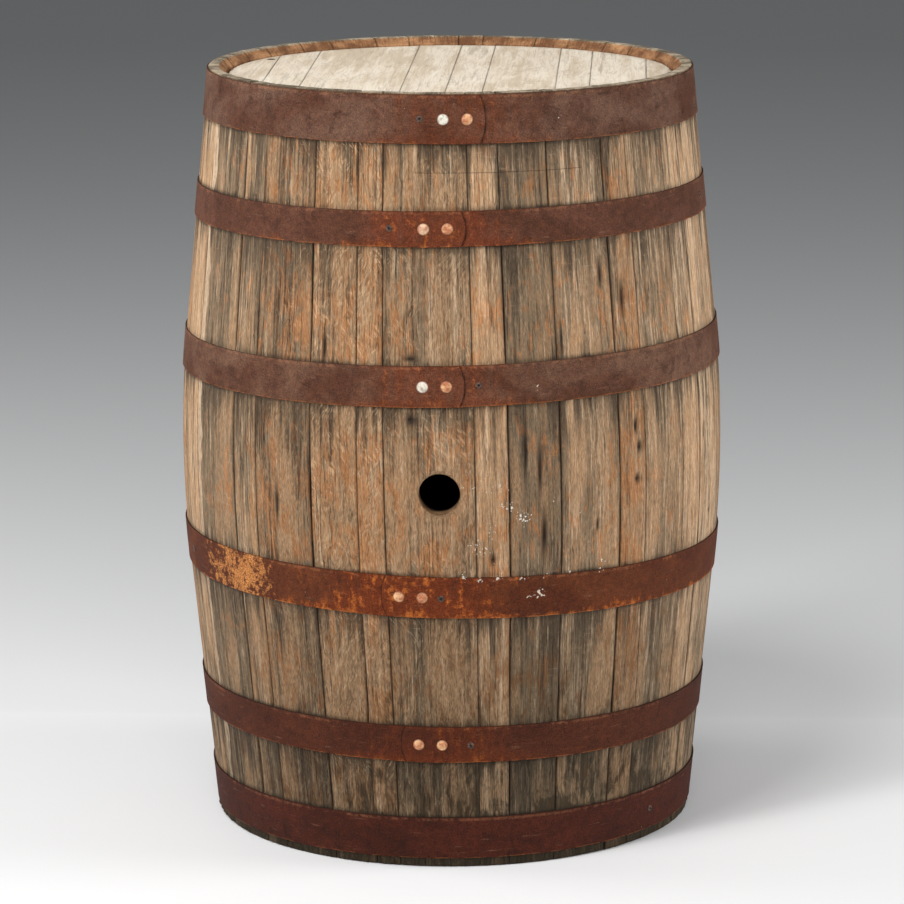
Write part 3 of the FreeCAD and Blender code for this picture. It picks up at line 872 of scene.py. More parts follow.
def hoop_sizes(outline):
    """Middle height, width, tilt, lap angle and side of each hoop, from the frame."""
    sizes = {}
    for name in HOOP_NAMES:
        low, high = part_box(name)
        tilt, lap, side = HOOP_LIE[name]
        middle = (low[2] + high[2]) / 2
        reach = float(outline.radius(middle))
        lift = reach * math.tan(math.radians(tilt))
        width = high[2] - low[2] - 2 * abs(lift)
        sizes[name] = (middle, width, lift, math.radians(lap), side)
    return sizes


def hoop_stain(turn, z, hoops):
    """Dark iron stain: long below each hoop, short above it."""
    stain = np.zeros_like(turn)
    for middle, width, lift, _, _ in hoops.values():
        above = z - middle - lift * np.sin(turn)
        off = np.clip(np.abs(above) - width / 2, 0, None)
        over = 0.55 * np.exp(-off / STAIN_ABOVE)
        stain = np.maximum(stain, np.where(above > 0, over, np.exp(-off / STAIN_BELOW)))
    return stain


def hoop_edges(turn, z, hoops):
    """How far wood is open to wear, low under a hoop, and the painted shade line along a hoop's
    edge.
    """
    bare = np.ones_like(turn)
    hoop_edge_shade = np.zeros_like(turn)
    for middle, width, lift, _, _ in hoops.values():
        off = np.abs(z - middle - lift * np.sin(turn)) - width / 2
        bare = np.minimum(bare, np.clip(off / (4 * MM), 0.15, 1))
        hoop_edge_shade = np.maximum(hoop_edge_shade, np.exp(-np.abs(off) / (1.3 * MM)))
    return bare, hoop_edge_shade


def chime_rows(outline, look):
    """Half of a stave's fine outline, from the croze mouth over the rim to the outside."""
    sight = float(outline.radius(look.howel_length, -look.stave_thickness))
    end = outline.end_radius
    inner = end - look.rim_width
    return [
        (sight, CROZE_MOUTH), (sight, 13.5 * MM), (sight, 10 * MM),
        ((sight + inner) / 2, 5 * MM), (inner - 0.4 * MM, 0.7 * MM),
        (inner + 0.8 * MM, 0.0), (inner + 4.5 * MM, 0.0), (inner + 8 * MM, 0.0),
        (end - 1.5 * MM, 0.0), (end - 0.45 * MM, 0.35 * MM),
        (float(outline.radius(1.5 * MM)), 1.5 * MM),
    ]


def stave_rows(outline, look):
    """The fine outline as radius, height and a flag that is 1 on the outside."""
    chime = chime_rows(outline, look)
    count = int(round((outline.height - 6 * MM) / look.length_step))
    heights = np.linspace(3 * MM, outline.height - 3 * MM, count)
    extra = [SCRIBE_HEIGHT - 0.7 * MM, SCRIBE_HEIGHT, SCRIBE_HEIGHT + 0.7 * MM]
    heights = np.sort(np.append(heights, extra))
    foot = np.array(chime)
    top = foot[::-1].copy()
    top[:, 1] = outline.height - top[:, 1]
    outside = np.stack([outline.radius(heights), heights], -1)
    rows = np.concatenate([foot, outside, top])
    flags = np.zeros(len(rows))
    flags[len(foot) - 1:len(foot) + len(outside) + 1] = 1.0
    return rows[:, 0], rows[:, 1], flags


def stave_inner_rows(outline, look):
    """The coarse inside, from the top croze down to the bottom one."""
    sight = float(outline.radius(look.howel_length, -look.stave_thickness))
    low, high = CROZE_EDGES
    cut = sight + CROZE_DEPTH
    croze = [(cut, low), (cut, high), (sight, high + MM)]
    heights = np.linspace(look.howel_length, outline.height - look.howel_length, INNER_ROWS)
    inside = [(float(outline.radius(z, -look.stave_thickness)), z) for z in heights]
    top = [(radius, outline.height - depth) for radius, depth in croze]
    return np.array(top + inside[::-1] + croze[::-1])


def stave_columns(width, step):
    """Distances from the left joint, close together at both worn edges."""
    edge = [0.0, 0.35 * MM, 0.9 * MM, 1.8 * MM]
    count = max(4, int(round((width - 2 * edge[-1]) / step)))
    inner = np.linspace(edge[-1], width - edge[-1], count + 1)[1:-1]
    return np.array(edge + inner.tolist() + [width - distance for distance in edge[::-1]])


def wood_relief(across, along, width, seed, look_values):
    """How far the surface has worn back, in metres: grain ridges, checks and edges."""
    ridges = hash_noise(across / (2.6 * MM), along / 0.07, seed)
    swell = hash_noise(across / 0.022, along / 0.16, seed + 1)
    gouge = hash_noise(across / (3.4 * MM), along / 0.11, seed + 2)
    gouge = np.clip((gouge - 0.8) / 0.2, 0, 1)
    edge = np.minimum(across, width - across)
    chip = hash_noise(along / 0.035 + 40, (across > width / 2) * 9.0, seed + 3)
    roll = np.exp(-edge / (0.7 * MM)) * (0.7 + 1.1 * chip ** 2) * MM
    worn = 0.16 * MM * ridges + 0.3 * MM * swell + 0.55 * MM * gouge
    return worn * (0.6 + 0.8 * look_values[1]) + roll


def joint_gaps(number, heights, joint_gap):
    """Wear of the joints left and right of a stave, and how far each stands open."""
    following = number % len(stave_names()) + 1
    wears = []
    gaps = []
    for joint in (number, following):
        wear = JOINT_WEAR.get(joint, USUAL_WEAR)
        opening = hash_noise(heights / 0.09, 0 * heights, 900 + joint)
        wears.append(wear)
        gaps.append(joint_gap * (0.4 + 4 * wear ** 2 * opening))
    return wears, gaps


def stave_faces(rows, inner, outside, wide):
    """Faces and material numbers: outside, inside, the two ends and the two joints."""
    start = len(rows) * wide
    narrow = INNER_COLUMNS
    faces = [*quads(0, len(rows), wide), *quads(start, len(inner), narrow)]
    kinds = []
    for here, after in zip(outside[:-1], outside[1:]):
        kinds += [0 if here and after else 1] * (wide - 1)
    last_fine = start - wide
    last_coarse = start + (len(inner) - 1) * narrow
    for fine, coarse in ((last_fine, start), (0, last_coarse)):
        faces.append([*range(fine, fine + wide), *reversed(range(coarse, coarse + narrow))])
    kinds += [2] * (len(faces) - len(kinds))
    loop = [Vector((radius, z, 0)) for radius, z in (*rows, *inner)]
    for column, inner_column in ((0, 0), (wide - 1, narrow - 1)):
        corner = [*range(column, start, wide)]
        corner += range(start + inner_column, start + len(inner) * narrow, narrow)
        for triangle in tessellate_polygon([loop]):
            faces.append([corner[index] for index in triangle])
    kinds += [1] * (len(faces) - len(kinds))
    return faces, kinds


def sapwood(number, heights, from_left, from_right, seed):
    """Pale sapwood along one edge of a stave, 0 to 1."""
    side, width = SAPWOOD.get(number, (0, 0.0))
    inwards = from_left if side < 0 else from_right
    wave = hash_noise(heights / 0.04, 0 * heights + number, seed + 10)
    wave = wave + 0.5 * hash_noise(heights / 0.013, 0 * heights + number, seed + 11)
    return np.clip((width * (0.45 + 0.75 * wave) - inwards) / (1.2 * MM), 0, 1) * (width > 0)


def build_stave(name, number, outline, hoops, materials):
    look = settings()
    joints = Joints(name, outline)
    seed = look.seed * 1000 + number * 17
    rng = np.random.default_rng(seed)
    usual_look = tuple(rng.uniform((0.35, 0.25, 0.2, 0.0), (0.75, 0.7, 0.6, 0.6)))
    look_values = STAVE_LOOKS.get(number, usual_look)
    radius, height, outside = stave_rows(outline, look)
    full = outline.bilge_radius * (joints.right - joints.left)
    columns = stave_columns(full, look.grain_step)
    set_back = rng.uniform(0.0, 0.35) * MM

    def angles(radii, heights, share, loose):
        """Angle of a point at a share of the way between the joints."""
        lean = -(heights - outline.middle) * joints.lean
        left = joints.left + (lean + loose[0]) / radii
        right = joints.right + (lean - loose[1]) / radii
        return left + (right - left) * share

    radii, shares = np.meshgrid(radius, columns / full, indexing="ij")
    heights = np.repeat(height[:, None], len(columns), 1)
    flags = np.repeat(outside[:, None], len(columns), 1)
    wears, gaps = joint_gaps(number, heights, look.joint_gap)
    turn = angles(radii, heights, shares, gaps)
    degrees = np.degrees(wrap(turn))
    across = shares * full
    edge = np.minimum(across, full - across)
    near_end = np.minimum(heights, outline.height - heights)
    bare, hoop_edge_shade = hoop_edges(turn, heights, hoops)
    mark, hollow = wood_marks(turn, radii, heights)
    scribe = (np.abs(heights - SCRIBE_HEIGHT) < 0.3 * MM) * between(degrees, *SCRIBE_ENDS)
    chime_wear = hash_noise(across / 0.007, heights / 0.004, seed + 5)
    relief = wood_relief(across, heights, full, seed, look_values) + hollow + scribe * 0.5 * MM
    relief = relief + chime_wear * MM * np.clip(1 - near_end / 0.006, 0, 1)
    radii = radii - flags * bare * (relief + set_back * 0.5)
    torn = 1.0 + 0.8 * (degrees < -12)
    splinter = hash_noise(across / 0.0028, heights / 0.0025, seed + 9) ** 2 * 1.8 * MM * torn
    radii = radii + splinter * np.clip(1 - np.abs(heights - 3 * MM) / (5.5 * MM), 0, 1) * flags
    rim_drop = (0.7 * np.exp(-edge / (0.8 * MM)) + 0.5 * chime_wear) * MM + set_back * 1.2
    is_rim = (near_end < 1.0 * MM) & (flags == 0)
    upwards = np.where(heights > outline.middle, -1.0, 1.0)
    fine = place_of(radii, turn, heights + is_rim * upwards * rim_drop)

    inner = stave_inner_rows(outline, look)
    inner_shares = np.linspace(0, 1, INNER_COLUMNS)
    inner_radii, inner_share_grid = np.meshgrid(inner[:, 0], inner_shares, indexing="ij")
    inner_heights = np.repeat(inner[:, 1:], INNER_COLUMNS, 1)
    inner_turn = angles(inner_radii, inner_heights, inner_share_grid, (0.0, 0.0))
    coarse = place_of(inner_radii, inner_turn, inner_heights)

    places = np.concatenate([fine.reshape(-1, 3), coarse.reshape(-1, 3)])
    rows = np.stack([radius, height], -1)
    faces, kinds = stave_faces(rows, inner, outside, len(columns))
    piece = mesh_object("Stave_%02d" % number, places, faces)
    face_outwards(piece)
    mesh = piece.data
    mesh.polygons.foreach_set("material_index", np.array(kinds, np.int32))
    for material in materials:
        mesh.materials.append(material)

    def spread(values):
        """Values of the fine mesh, and 0 for the coarse one."""
        return np.concatenate([np.asarray(values).ravel(), np.zeros(inner_turn.size)])

    steps = np.hypot(np.diff(radius), np.diff(height))
    along = np.concatenate([[0.0], np.cumsum(steps)])
    along = np.repeat(along[:, None], len(columns), 1)
    add_grain(mesh, spread(across + number * 0.31), spread(along))
    wet = 0.5 + 0.7 * hash_noise(across / 0.012, heights / 0.3, seed + 6)
    wear = np.where(across > full / 2, wears[1], wears[0])
    near_joint = np.exp(-np.maximum(edge - 0.4 * MM, 0) / ((0.3 + 0.8 * wear) * MM))
    faint = 0.55 + 0.45 * hash_noise(heights / 0.05, (across > full / 2) * 5.0, seed + 8)
    skin = np.abs(radius - outline.radius(height)) < 0.6 * MM
    joint = near_joint * faint * (0.35 + 0.65 * wear)
    # Grime together with painted shade: the staves are darkened towards the bottom, most on the
    # front.
    front = 0.62 + 0.85 * np.exp(-((degrees - 22) / 45) ** 2)
    grime = np.clip((0.36 - heights) / 0.36, 0, 1) ** 1.2 * front
    varying = {
        "stain": hoop_stain(turn, heights, hoops) * wet * flags,
        "mark": np.maximum(mark, scribe * 0.35) * flags,
        # The joint value also carries painted shade along the edges of the hoops.
        "joint": np.maximum(joint, hoop_edge_shade * 0.85 * skin[:, None]),
        "sap": sapwood(number, heights, across, full - across, seed),
        "grime": np.maximum(grime, 2.0 * (heights < FOOT_HEIGHT)),
    }
    for label, values in varying.items():
        add_values(mesh, label, spread(values))
    same = dict(zip(("light", "grey", "warm", "fleck"), look_values), own_shift=number * 3.7)
    for label, value in same.items():
        add_values(mesh, label, np.full(len(places), value))
    add_values(mesh, "paint", paint_near(places, outline))
    return piece


def paint_near(places, outline):
    """How much paint there may be at each place, 0 to 1."""
    share = np.zeros(len(places))
    for angle, z, reach, thickness in PAINT_SPLASHES:
        centre = place_of(float(outline.radius(z)), np.float64(math.radians(angle)), z)
        away = np.linalg.norm(places - centre, axis=1) / reach
        share = np.maximum(share, thickness * np.clip(1.35 - away, 0, 1))
    return share


def between(value, low, high):
    return ((value > low) & (value < high)).astype(float)


def wood_marks(turn, radii, heights):
    """Darkness and depth of the knots, slits and stains listed for the wood."""
    dark = np.zeros_like(turn)
    hollow = np.zeros_like(turn)
    for angle, z, half_width, half_length, depth in WOOD_MARKS:
        sideways = wrap(turn - math.radians(angle)) * radii / half_width
        lengthways = (heights - z) / half_length
        away = np.sqrt(sideways ** 2 + lengthways ** 2)
        amount = np.clip(1.25 - away, 0, 1)
        dark = np.maximum(dark, amount)
        hollow = np.maximum(hollow, amount * depth)
    return dark, hollow


def bung_cutter(outline, material):
    """The bore of the bung hole, from inside the wall out to its worn edge."""
    radius = settings().bung_radius
    face = outline.bilge_radius - BUNG_START
    profile = [
        (radius, 0.0), (radius, face - 2 * BUNG_WEAR),
        (radius + BUNG_WEAR * 0.4, face - 0.5 * MM),
        (radius + BUNG_WEAR, face + 1.5 * MM), (radius + BUNG_WEAR, 0.10),
    ]
    place = (0, -BUNG_START, outline.middle)
    cutter = turned_shape("bung_cutter", profile, place, (0, -1, 0), 72)
    cutter.data.materials.append(material)
    return cutter


class BARREL_OT_staves(bpy.types.Operator):
    """Bent staves with worn edges, checks and a bung hole"""
    bl_idname = "barrel.staves"
    bl_label = "Staves"

    def execute(self, context):
        outline = Outline(settings().bend_half_length)
        hoops = hoop_sizes(outline)
        materials = [
            weathered_oak("Weathered oak"), rim_oak("Chime oak"), charred_oak("Charred oak")]
        for number, name in enumerate(stave_names(), 1):
            piece = build_stave(name, number, outline, hoops, materials)
            if number == 1:
                drill(piece, bung_cutter(outline, bored_oak("Bored oak")))
            shade(piece)
            dress(piece, "stave_oak", name)
        return {"FINISHED"}


# ----------------------------------------------------------------------------- heads

BEVEL_WIDTH = 0.005
BEVEL_DROP = 0.007
TONGUE_HALF = 0.0025
# Gap left at each joint between two boards
BOARD_GAP = 0.1 * MM
# How far in from the edge of the head's face the boards grow darker
HEAD_EDGE_REACH = 0.012


def build_board(name, upwards, reach, face_radius, step, material, seed):
    """One head board: worn joints, bevelled to a tongue where it meets the croze."""
    low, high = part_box(name)
    face, back = (high[2], low[2]) if upwards > 0 else (low[2], high[2])
    thickness = high[2] - low[2]
    width = high[0] - low[0]
    inner = np.linspace(1.6 * MM, width - 1.6 * MM, max(4, int(width / step)))
    worn_edge = np.array([0.0, 0.3 * MM, 0.8 * MM])
    columns = np.concatenate([worn_edge, inner, width - worn_edge[::-1]])
    left = low[0] + BOARD_GAP + columns * (width - 2 * BOARD_GAP) / width
    rows = np.sin(np.linspace(-math.pi / 2, math.pi / 2, int(2.6 * reach / step)))
    chord = np.sqrt(np.clip(reach ** 2 - left ** 2, 0, None))
    x, share = np.meshgrid(left, rows, indexing="ij")
    y = share * chord[:, None]
    radii = np.hypot(x, y)
    across = np.repeat(columns[:, None], len(rows), 1)
    edge = np.minimum(across, width - across)
    bevel = face_radius + BEVEL_WIDTH
    drop = np.interp(
        radii, [0, face_radius, bevel, reach], [0, 0, BEVEL_DROP, BEVEL_DROP + MM])
    ridges = hash_noise(across / (3 * MM), y / 0.08 + 50, seed) * 0.12 * MM
    swell = hash_noise(across / 0.03, y / 0.15 + 50, seed + 1) * 0.25 * MM
    chip = hash_noise(y / 0.03 + 60, 0 * y, seed + 2)
    roll = np.exp(-edge / (0.5 * MM)) * (0.3 + 0.6 * chip) * MM
    front = face - upwards * (drop + ridges + swell + roll + (seed % 5) * 0.06 * MM)
    under = thickness - BEVEL_DROP - 2 * TONGUE_HALF
    behind = np.interp(
        radii, [0, face_radius - 3 * MM, bevel, reach], [0, 0, under - 2 * MM, under - MM])
    places = [np.stack([x, y, z], -1).reshape(-1, 3) for z in (front, back + upwards * behind)]
    nx, ny = x.shape
    count = nx * ny
    faces = [quad[::-1] for quad in quads(0, nx, ny)]
    faces += quads(count, nx, ny)
    rim = [*range(0, count, ny), *range(count - ny + 1, count)]
    rim += [*range(count - ny - 1, 0, -ny), *range(ny - 2, 0, -1)]
    for a, b in zip(rim, rim[1:] + rim[:1]):
        faces.append((a, count + a, count + b, b))
    piece = mesh_object(name.title(), np.concatenate(places), faces)
    mesh = piece.data
    add_grain(mesh, np.tile(x.ravel() + 2.0, 2), np.tile(y.ravel() + 2.0, 2))
    light = np.random.default_rng(seed).uniform(0.1, 0.9)
    faint = 0.35 + 0.65 * hash_noise(y / 0.1 + 70, across / width, seed + 4)
    near = np.exp(-np.maximum(edge - 0.2 * MM, 0) / (0.5 * MM)) * faint
    head_edge_darkening = np.clip((radii - face_radius + HEAD_EDGE_REACH) / HEAD_EDGE_REACH, 0, 1) * 0.35
    labels = {
        "light": np.full(count, light), "own_shift": np.full(count, seed * 1.3),
        "joint": near.ravel(), "mark": head_edge_darkening.ravel(),
    }
    for label, values in labels.items():
        add_values(mesh, label, np.tile(values, 2))
    mesh.materials.append(material)
    face_outwards(piece, 0.02 * MM)
    return piece


def build_head(prefix, upwards, step, material, slot, seed):
    """Every board of one head, upwards 1 for the top one and -1 for the bottom one."""
    names = sorted(name for name in NODES if name.startswith(prefix + "_board_"))
    places, radii = vertices_of(*names)
    face = places[:, 2].max() if upwards > 0 else places[:, 2].min()
    face_radius = float(radii[np.abs(places[:, 2] - face) < AT_END].max())
    reach = float(radii.max())
    for number, name in enumerate(names):
        board_seed = seed + number * 7
        piece = build_board(name, upwards, reach, face_radius, step, material, board_seed)
        if prefix == "top_head" and number == 0:
            drill(piece, spile_cutter())
        shade(piece, 30)
        dress(piece, slot, name)


def spile_cutter():
    """The bore of the small hole in the top head, with its worn edge."""
    x, y, z = frame["record"]["mounts"][1]["pos_m"]
    radius = settings().spile_radius
    worn = radius + 0.8 * MM
    profile = [(radius, 0.0), (radius, 49.5 * MM), (worn, 51.5 * MM), (worn, 80 * MM)]
    cutter = turned_shape("spile_cutter", profile, (x, y, z - 40 * MM), (0, 0, 1), 32)
    # The bore takes the charred black as painted shade inside the hole.
    cutter.data.materials.append(charred_oak("Dark hole"))
    return cutter


class BARREL_OT_heads(bpy.types.Operator):
    """Top and bottom heads, board by board"""
    bl_idname = "barrel.heads"
    bl_label = "Heads"

    def execute(self, context):
        seed = settings().seed * 100
        top = bleached_oak(
            "Bleached oak", linear(233, 221, 202), linear(204, 186, 162), linear(140, 116, 90), 0.5)
        foot = bleached_oak(
            "Shaded oak", linear(146, 116, 84), linear(112, 86, 60), linear(62, 46, 32), 0.6)
        build_head("top_head", 1, 2.4 * MM, top, "top_head_oak", seed)
        build_head("bottom_head", -1, 5 * MM, foot, "bottom_head_oak", seed + 50)
        dowels = plain_oak("Dowel oak")
        for name in ("top_head_dowels", "bottom_head_dowels"):
            mesh = NODES[name].data
            mesh.materials.clear()
            mesh.materials.append(dowels)
        return {"FINISHED"}


# ----------------------------------------------------------------------------- hoops

HOOP_FIT = 0.00005
LAP_RAMP = 0.018
LAP_RAMP_GAP = 0.0015
LAP_END_BOW = 0.006
# Angle over which the outer end of a strip bows
BOW_ANGLE = 0.12
# Places of the strip's mesh round the barrel and across the strip
STRIP_PLACES = (640, 17)
STRIP_SIZES = (
    "Radius", "Rise", "Curve", "Height", "Width", "Lift", "Start", "Side", "Lap", "Ramp",
    "Ramp Gap", "Bow", "Thickness", "Seed",
)
STRIP_INPUTS = (
    *((label, "NodeSocketFloat") for label in STRIP_SIZES), ("Material", "NodeSocketMaterial"))


def geometry_tree(name, inputs):
    """A Geometry Nodes tree with named inputs; returns it and its inputs as wires."""
    group = bpy.data.node_groups.new(name, "GeometryNodeTree")
    group.interface.new_socket("Geometry", in_out="OUTPUT", socket_type="NodeSocketGeometry")
    inputs = (("Geometry", "NodeSocketGeometry"), *inputs)
    for label, kind in inputs:
        group.interface.new_socket(label, in_out="INPUT", socket_type=kind)
    tree = Tree(group)
    outputs = tree.node("NodeGroupInput").socket.node.outputs
    return group, tree, {label: Wire(tree, outputs[label]) for label, _ in inputs}


def set_inputs(modifier, values):
    """Sets a modifier's inputs by the identifiers of their sockets."""
    for item in modifier.node_group.interface.items_tree:
        if item.in_out == "INPUT" and item.name in values:
            modifier[item.identifier] = values[item.name]


def strip_tree():
    """A strip bent into a ring on the barrel, its end climbing over its own start."""
    group, tree, given = geometry_tree("Hoop strip", STRIP_INPUTS)
    radius, side, width, lap, bow = (
        given[label] for label in ("Radius", "Side", "Width", "Lap", "Bow"))
    sheet = tree.node("GeometryNodeMeshGrid", None, {
        "Size X": 1.0, "Size Y": 1.0,
        "Vertices X": STRIP_PLACES[0], "Vertices Y": STRIP_PLACES[1]})
    x, y, _ = tree.parts(tree.node("GeometryNodeInputPosition"))
    total = lap + TURN
    turn = (x + 0.5) * total
    climbed = TURN - given["Ramp Gap"]
    layer = turn.ease(climbed - given["Ramp"], climbed)
    at_end = (turn - total + BOW_ANGLE).ease(0.0, BOW_ANGLE)
    curl = bow * (y * 2.0) * (y * 2.0)
    angle = given["Start"] + side * (turn - at_end * curl)
    sine = angle.maths("SINE")
    cosine = angle.maths("COSINE")
    upwards = side * y
    across = upwards * width
    strip = tree.joined(turn * radius, across, given["Seed"])
    dent = tree.noise(strip, (13.0, 20.0, 1.0), 2.0, 0.5)
    nick = tree.noise(strip, (90.0, 3.0, 1.0), 3.0, 0.6)
    edge = (y * 2.0).size().ease(0.86, 1.0)
    wobble = (nick - 0.5) * edge * (1.4 * MM) * upwards.maths("SIGN")
    lift = across + given["Lift"] * sine + wobble
    reach = radius + given["Rise"] * lift - given["Curve"] * lift * lift * 0.5
    reach = reach + (given["Thickness"] + HOOP_FIT) * (1 + layer)
    reach = reach + (dent - 0.42).most(0.0) * (0.9 * MM) + edge * (nick - 0.4).most(0.0) * (0.7 * MM)
    start_gap = (turn - lap * 0.5).size()
    end_gap = (turn - total + lap * 0.5).size()
    labels = {
        "from_lap": start_gap.least(end_gap) * radius,
        "low_edge": (0.5 + upwards) * width,
        "high_edge": (0.5 - upwards) * width,
        # Painted shadow along the lap's step, on the outer end and on the strip beneath it.
        "lap_line": (turn - lap + curl).size().least(total - turn) * radius,
    }
    for label, value in labels.items():
        sheet = tree.stored(sheet, label, value)
    sheet = tree.stored(sheet, "Strip", strip, "FLOAT2", "CORNER")
    place = tree.joined(reach * sine, -(reach * cosine), given["Height"] + lift)
    bent = tree.node("GeometryNodeSetPosition", None, {"Geometry": sheet, "Position": place})
    tree.finish_shape(bent, given["Material"])
    return group


def build_hoop(name, group, outline, sizes, material, seed):
    look = settings()
    middle, width, lift, lap_angle, side = sizes
    radius = float(outline.radius(middle))
    lap_half = (look.rivet_pitch / 2 + look.lap_end) / radius
    piece = mesh_object(name.title(), np.zeros((0, 3)), [])
    strip = piece.modifiers.new("Strip", "NODES")
    strip.node_group = group
    set_inputs(strip, {
        "Radius": radius, "Rise": outline.rise(middle), "Curve": outline.curve(middle),
        "Height": middle, "Width": width, "Lift": lift,
        "Start": lap_angle - side * lap_half, "Side": float(side), "Lap": 2 * lap_half,
        "Ramp": LAP_RAMP / radius, "Ramp Gap": LAP_RAMP_GAP / radius, "Bow": LAP_END_BOW / radius,
        "Thickness": look.hoop_thickness, "Seed": seed, "Material": material,
    })
    wall = piece.modifiers.new("Thickness", "SOLIDIFY")
    wall.thickness = look.hoop_thickness
    wall.offset = -1.0
    round_off = piece.modifiers.new("Worn edges", "BEVEL")
    round_off.width = 0.45 * MM
    round_off.segments = 2
    round_off.limit_method = "ANGLE"
    round_off.angle_limit = math.radians(60)
    settle(piece)
    add_values(piece.data, "paint", paint_near(mesh_places(piece.data), outline))
    shade(piece, 50)
    dress(piece, "hoop_steel", name)


class BARREL_OT_hoops(bpy.types.Operator):
    """Six steel strips, lapped on themselves and driven on to the staves"""
    bl_idname = "barrel.hoops"
    bl_label = "Hoops"

    def execute(self, context):
        outline = Outline(settings().bend_half_length)
        sizes = hoop_sizes(outline)
        group = strip_tree()
        brown = linear(83, 50, 35)
        deep = linear(61, 28, 18)
        finishes = {
            "hoop_top_head": (brown, 0.2, linear(104, 75, 60), None),
            "hoop_top_quarter": (brown, 0.4, linear(98, 62, 47), None),
            "hoop_top_bilge": (brown, 0.3, linear(108, 77, 60), None),
            "hoop_bottom_bilge": (linear(82, 40, 22), 0.8, linear(98, 52, 28), 0.27),
            "hoop_bottom_quarter": (linear(69, 34, 21), 0.26, linear(80, 41, 25), None),
            "hoop_bottom_head": (deep, 0.05, linear(72, 33, 22), None),
        }
        for number, name in enumerate(HOOP_NAMES):
            material = rusted_strip("Rust of " + name, *finishes[name])
            build_hoop(name, group, outline, sizes[name], material, number * 4.3)
        return {"FINISHED"}


# ------------------------------------------------------------------- rivets and screws

FASTENER_INPUTS = (
    ("Head", "NodeSocketObject"), ("Seed", "NodeSocketInt"), ("Material", "NodeSocketMaterial"))
# Rivets run from the top hoop down, left to right: which are zinc, and how clean
RIVETS = 12
ZINC_RIVETS = {0: 1.0, 2: 0.2, 4: 0.9}
RIVET_RADIUS = 6.5 * MM
RIVET_CROWN = 2.0 * MM


def solids_of(name):
    """The separate solids of a frame node, each as an array of its vertices."""
    shape = bmesh.new()
    shape.from_mesh(NODES[name].data)
    bmesh.ops.remove_doubles(shape, verts=shape.verts, dist=0.01 * MM)
    left = set(shape.verts)
    solids = []
    while left:
        found = {left.pop()}
        waiting = list(found)
        while waiting:
            vertex = waiting.pop()
            others = {link.other_vert(vertex) for link in vertex.link_edges} & left
            left -= others
            found |= others
            waiting += others
        solids.append(np.array([tuple(vertex.co) for vertex in found]))
    shape.free()
    return sorted(solids, key=lambda solid: (round(-solid[:, 2].mean(), 3), solid[:, 0].mean()))


def head_seats(name, outline):
    """Top of each head and the direction it faces, from the frame."""
    seats = []
    for solid in solids_of(name):
        centre = (solid.min(0) + solid.max(0)) / 2
        turn = math.atan2(centre[0], -centre[1])
        axis = np.array([math.sin(turn), -math.cos(turn), -outline.rise(centre[2])])
        axis /= np.linalg.norm(axis)
        seats.append((centre + axis * ((solid - centre) @ axis).max(), axis))
    return seats


def fastener_tree(name, wobble):
    """Puts a head on each point, turned to face outwards and each a little different."""
    group, tree, given = geometry_tree(name, FASTENER_INPUTS)
    seed = given["Seed"]
    head = tree.node("GeometryNodeObjectInfo", None, {"Object": given["Head"]}, "Geometry")
    choices = {"data_type": "FLOAT_VECTOR"}
    facing = tree.node("GeometryNodeInputNamedAttribute", choices, {"Name": "facing"})
    size = tree.node("FunctionNodeRandomValue", choices, {
        0: (1 - wobble, 1 - wobble, 1 - wobble), 1: (1 + wobble, 1 + wobble, 1.0), "Seed": seed})
    spin = tree.node(
        "FunctionNodeRandomValue", {"data_type": "FLOAT"}, {2: 0.0, 3: TURN, "Seed": seed}, 1)
    aim = tree.node("FunctionNodeAlignRotationToVector", {"axis": "Z"}, {"Vector": facing})
    spun = tree.node("FunctionNodeAxisAngleToRotation", None, {"Axis": (0, 0, 1), "Angle": spin})
    both = tree.node("FunctionNodeRotateRotation", {"rotation_space": "LOCAL"}, {0: aim, 1: spun})
    points = tree.node("GeometryNodeMeshToPoints", None, {0: given["Geometry"]})
    heads = tree.node("GeometryNodeInstanceOnPoints", None, {
        "Points": points, "Instance": head, "Rotation": both, "Scale": size})
    tree.finish_shape(heads, given["Material"])
    return group


def rivet_shape():
    """A set rivet with its top at z = 0: hammered crown, straight shank below."""
    rng = np.random.default_rng(settings().seed)
    rings = [
        (3.0 * MM, -5.8 * MM), (3.0 * MM, -2.6 * MM),
        (RIVET_RADIUS - 0.2 * MM, -2.6 * MM), (RIVET_RADIUS, -2.2 * MM),
    ]
    for share in (0.96, 0.86, 0.72, 0.54, 0.34, 0.14):
        rings.append((RIVET_RADIUS * share, -RIVET_CROWN * share ** 3.2))
    piece = turned_shape("rivet_shape", rings, (0, 0, 0), (0, 0, 1), 28)
    for vertex in piece.data.vertices:
        if vertex.co.z > -RIVET_CROWN:
            x, y = (np.array(vertex.co[axis] / (2.4 * MM) + 9) for axis in range(2))
            dent = float(hash_noise(x, y, 3))
            vertex.co.z -= dent * 0.6 * MM + rng.uniform(0, 0.05) * MM
    places = mesh_places(piece.data)
    crown = 1 - np.hypot(places[:, 0], places[:, 1]) / RIVET_RADIUS
    add_values(piece.data, "crown", np.clip(crown * 2.2, 0, 1))
    shade(piece, 45)
    return piece


def screw_shape():
    """A low head with a drive hole, its top at z = 0."""
    rings = [
        (1.7 * MM, -14 * MM), (1.7 * MM, -1.3 * MM), (3.7 * MM, -1.3 * MM), (3.9 * MM, -0.9 * MM),
        (3.5 * MM, -0.35 * MM), (2.6 * MM, -0.08 * MM), (1.6 * MM, 0.0), (1.3 * MM, -0.15 * MM),
        (1.1 * MM, -0.95 * MM),
    ]
    piece = turned_shape("screw_shape", rings, (0, 0, 0), (0, 0, 1), 24)
    places = mesh_places(piece.data)
    in_hole = np.hypot(places[:, 0], places[:, 1]) < 1.5 * MM
    # The drive hole, which the screw material paints black as shade.
    add_values(piece.data, "hollow", in_hole & (places[:, 2] > -2 * MM))
    shade(piece, 35)
    return piece


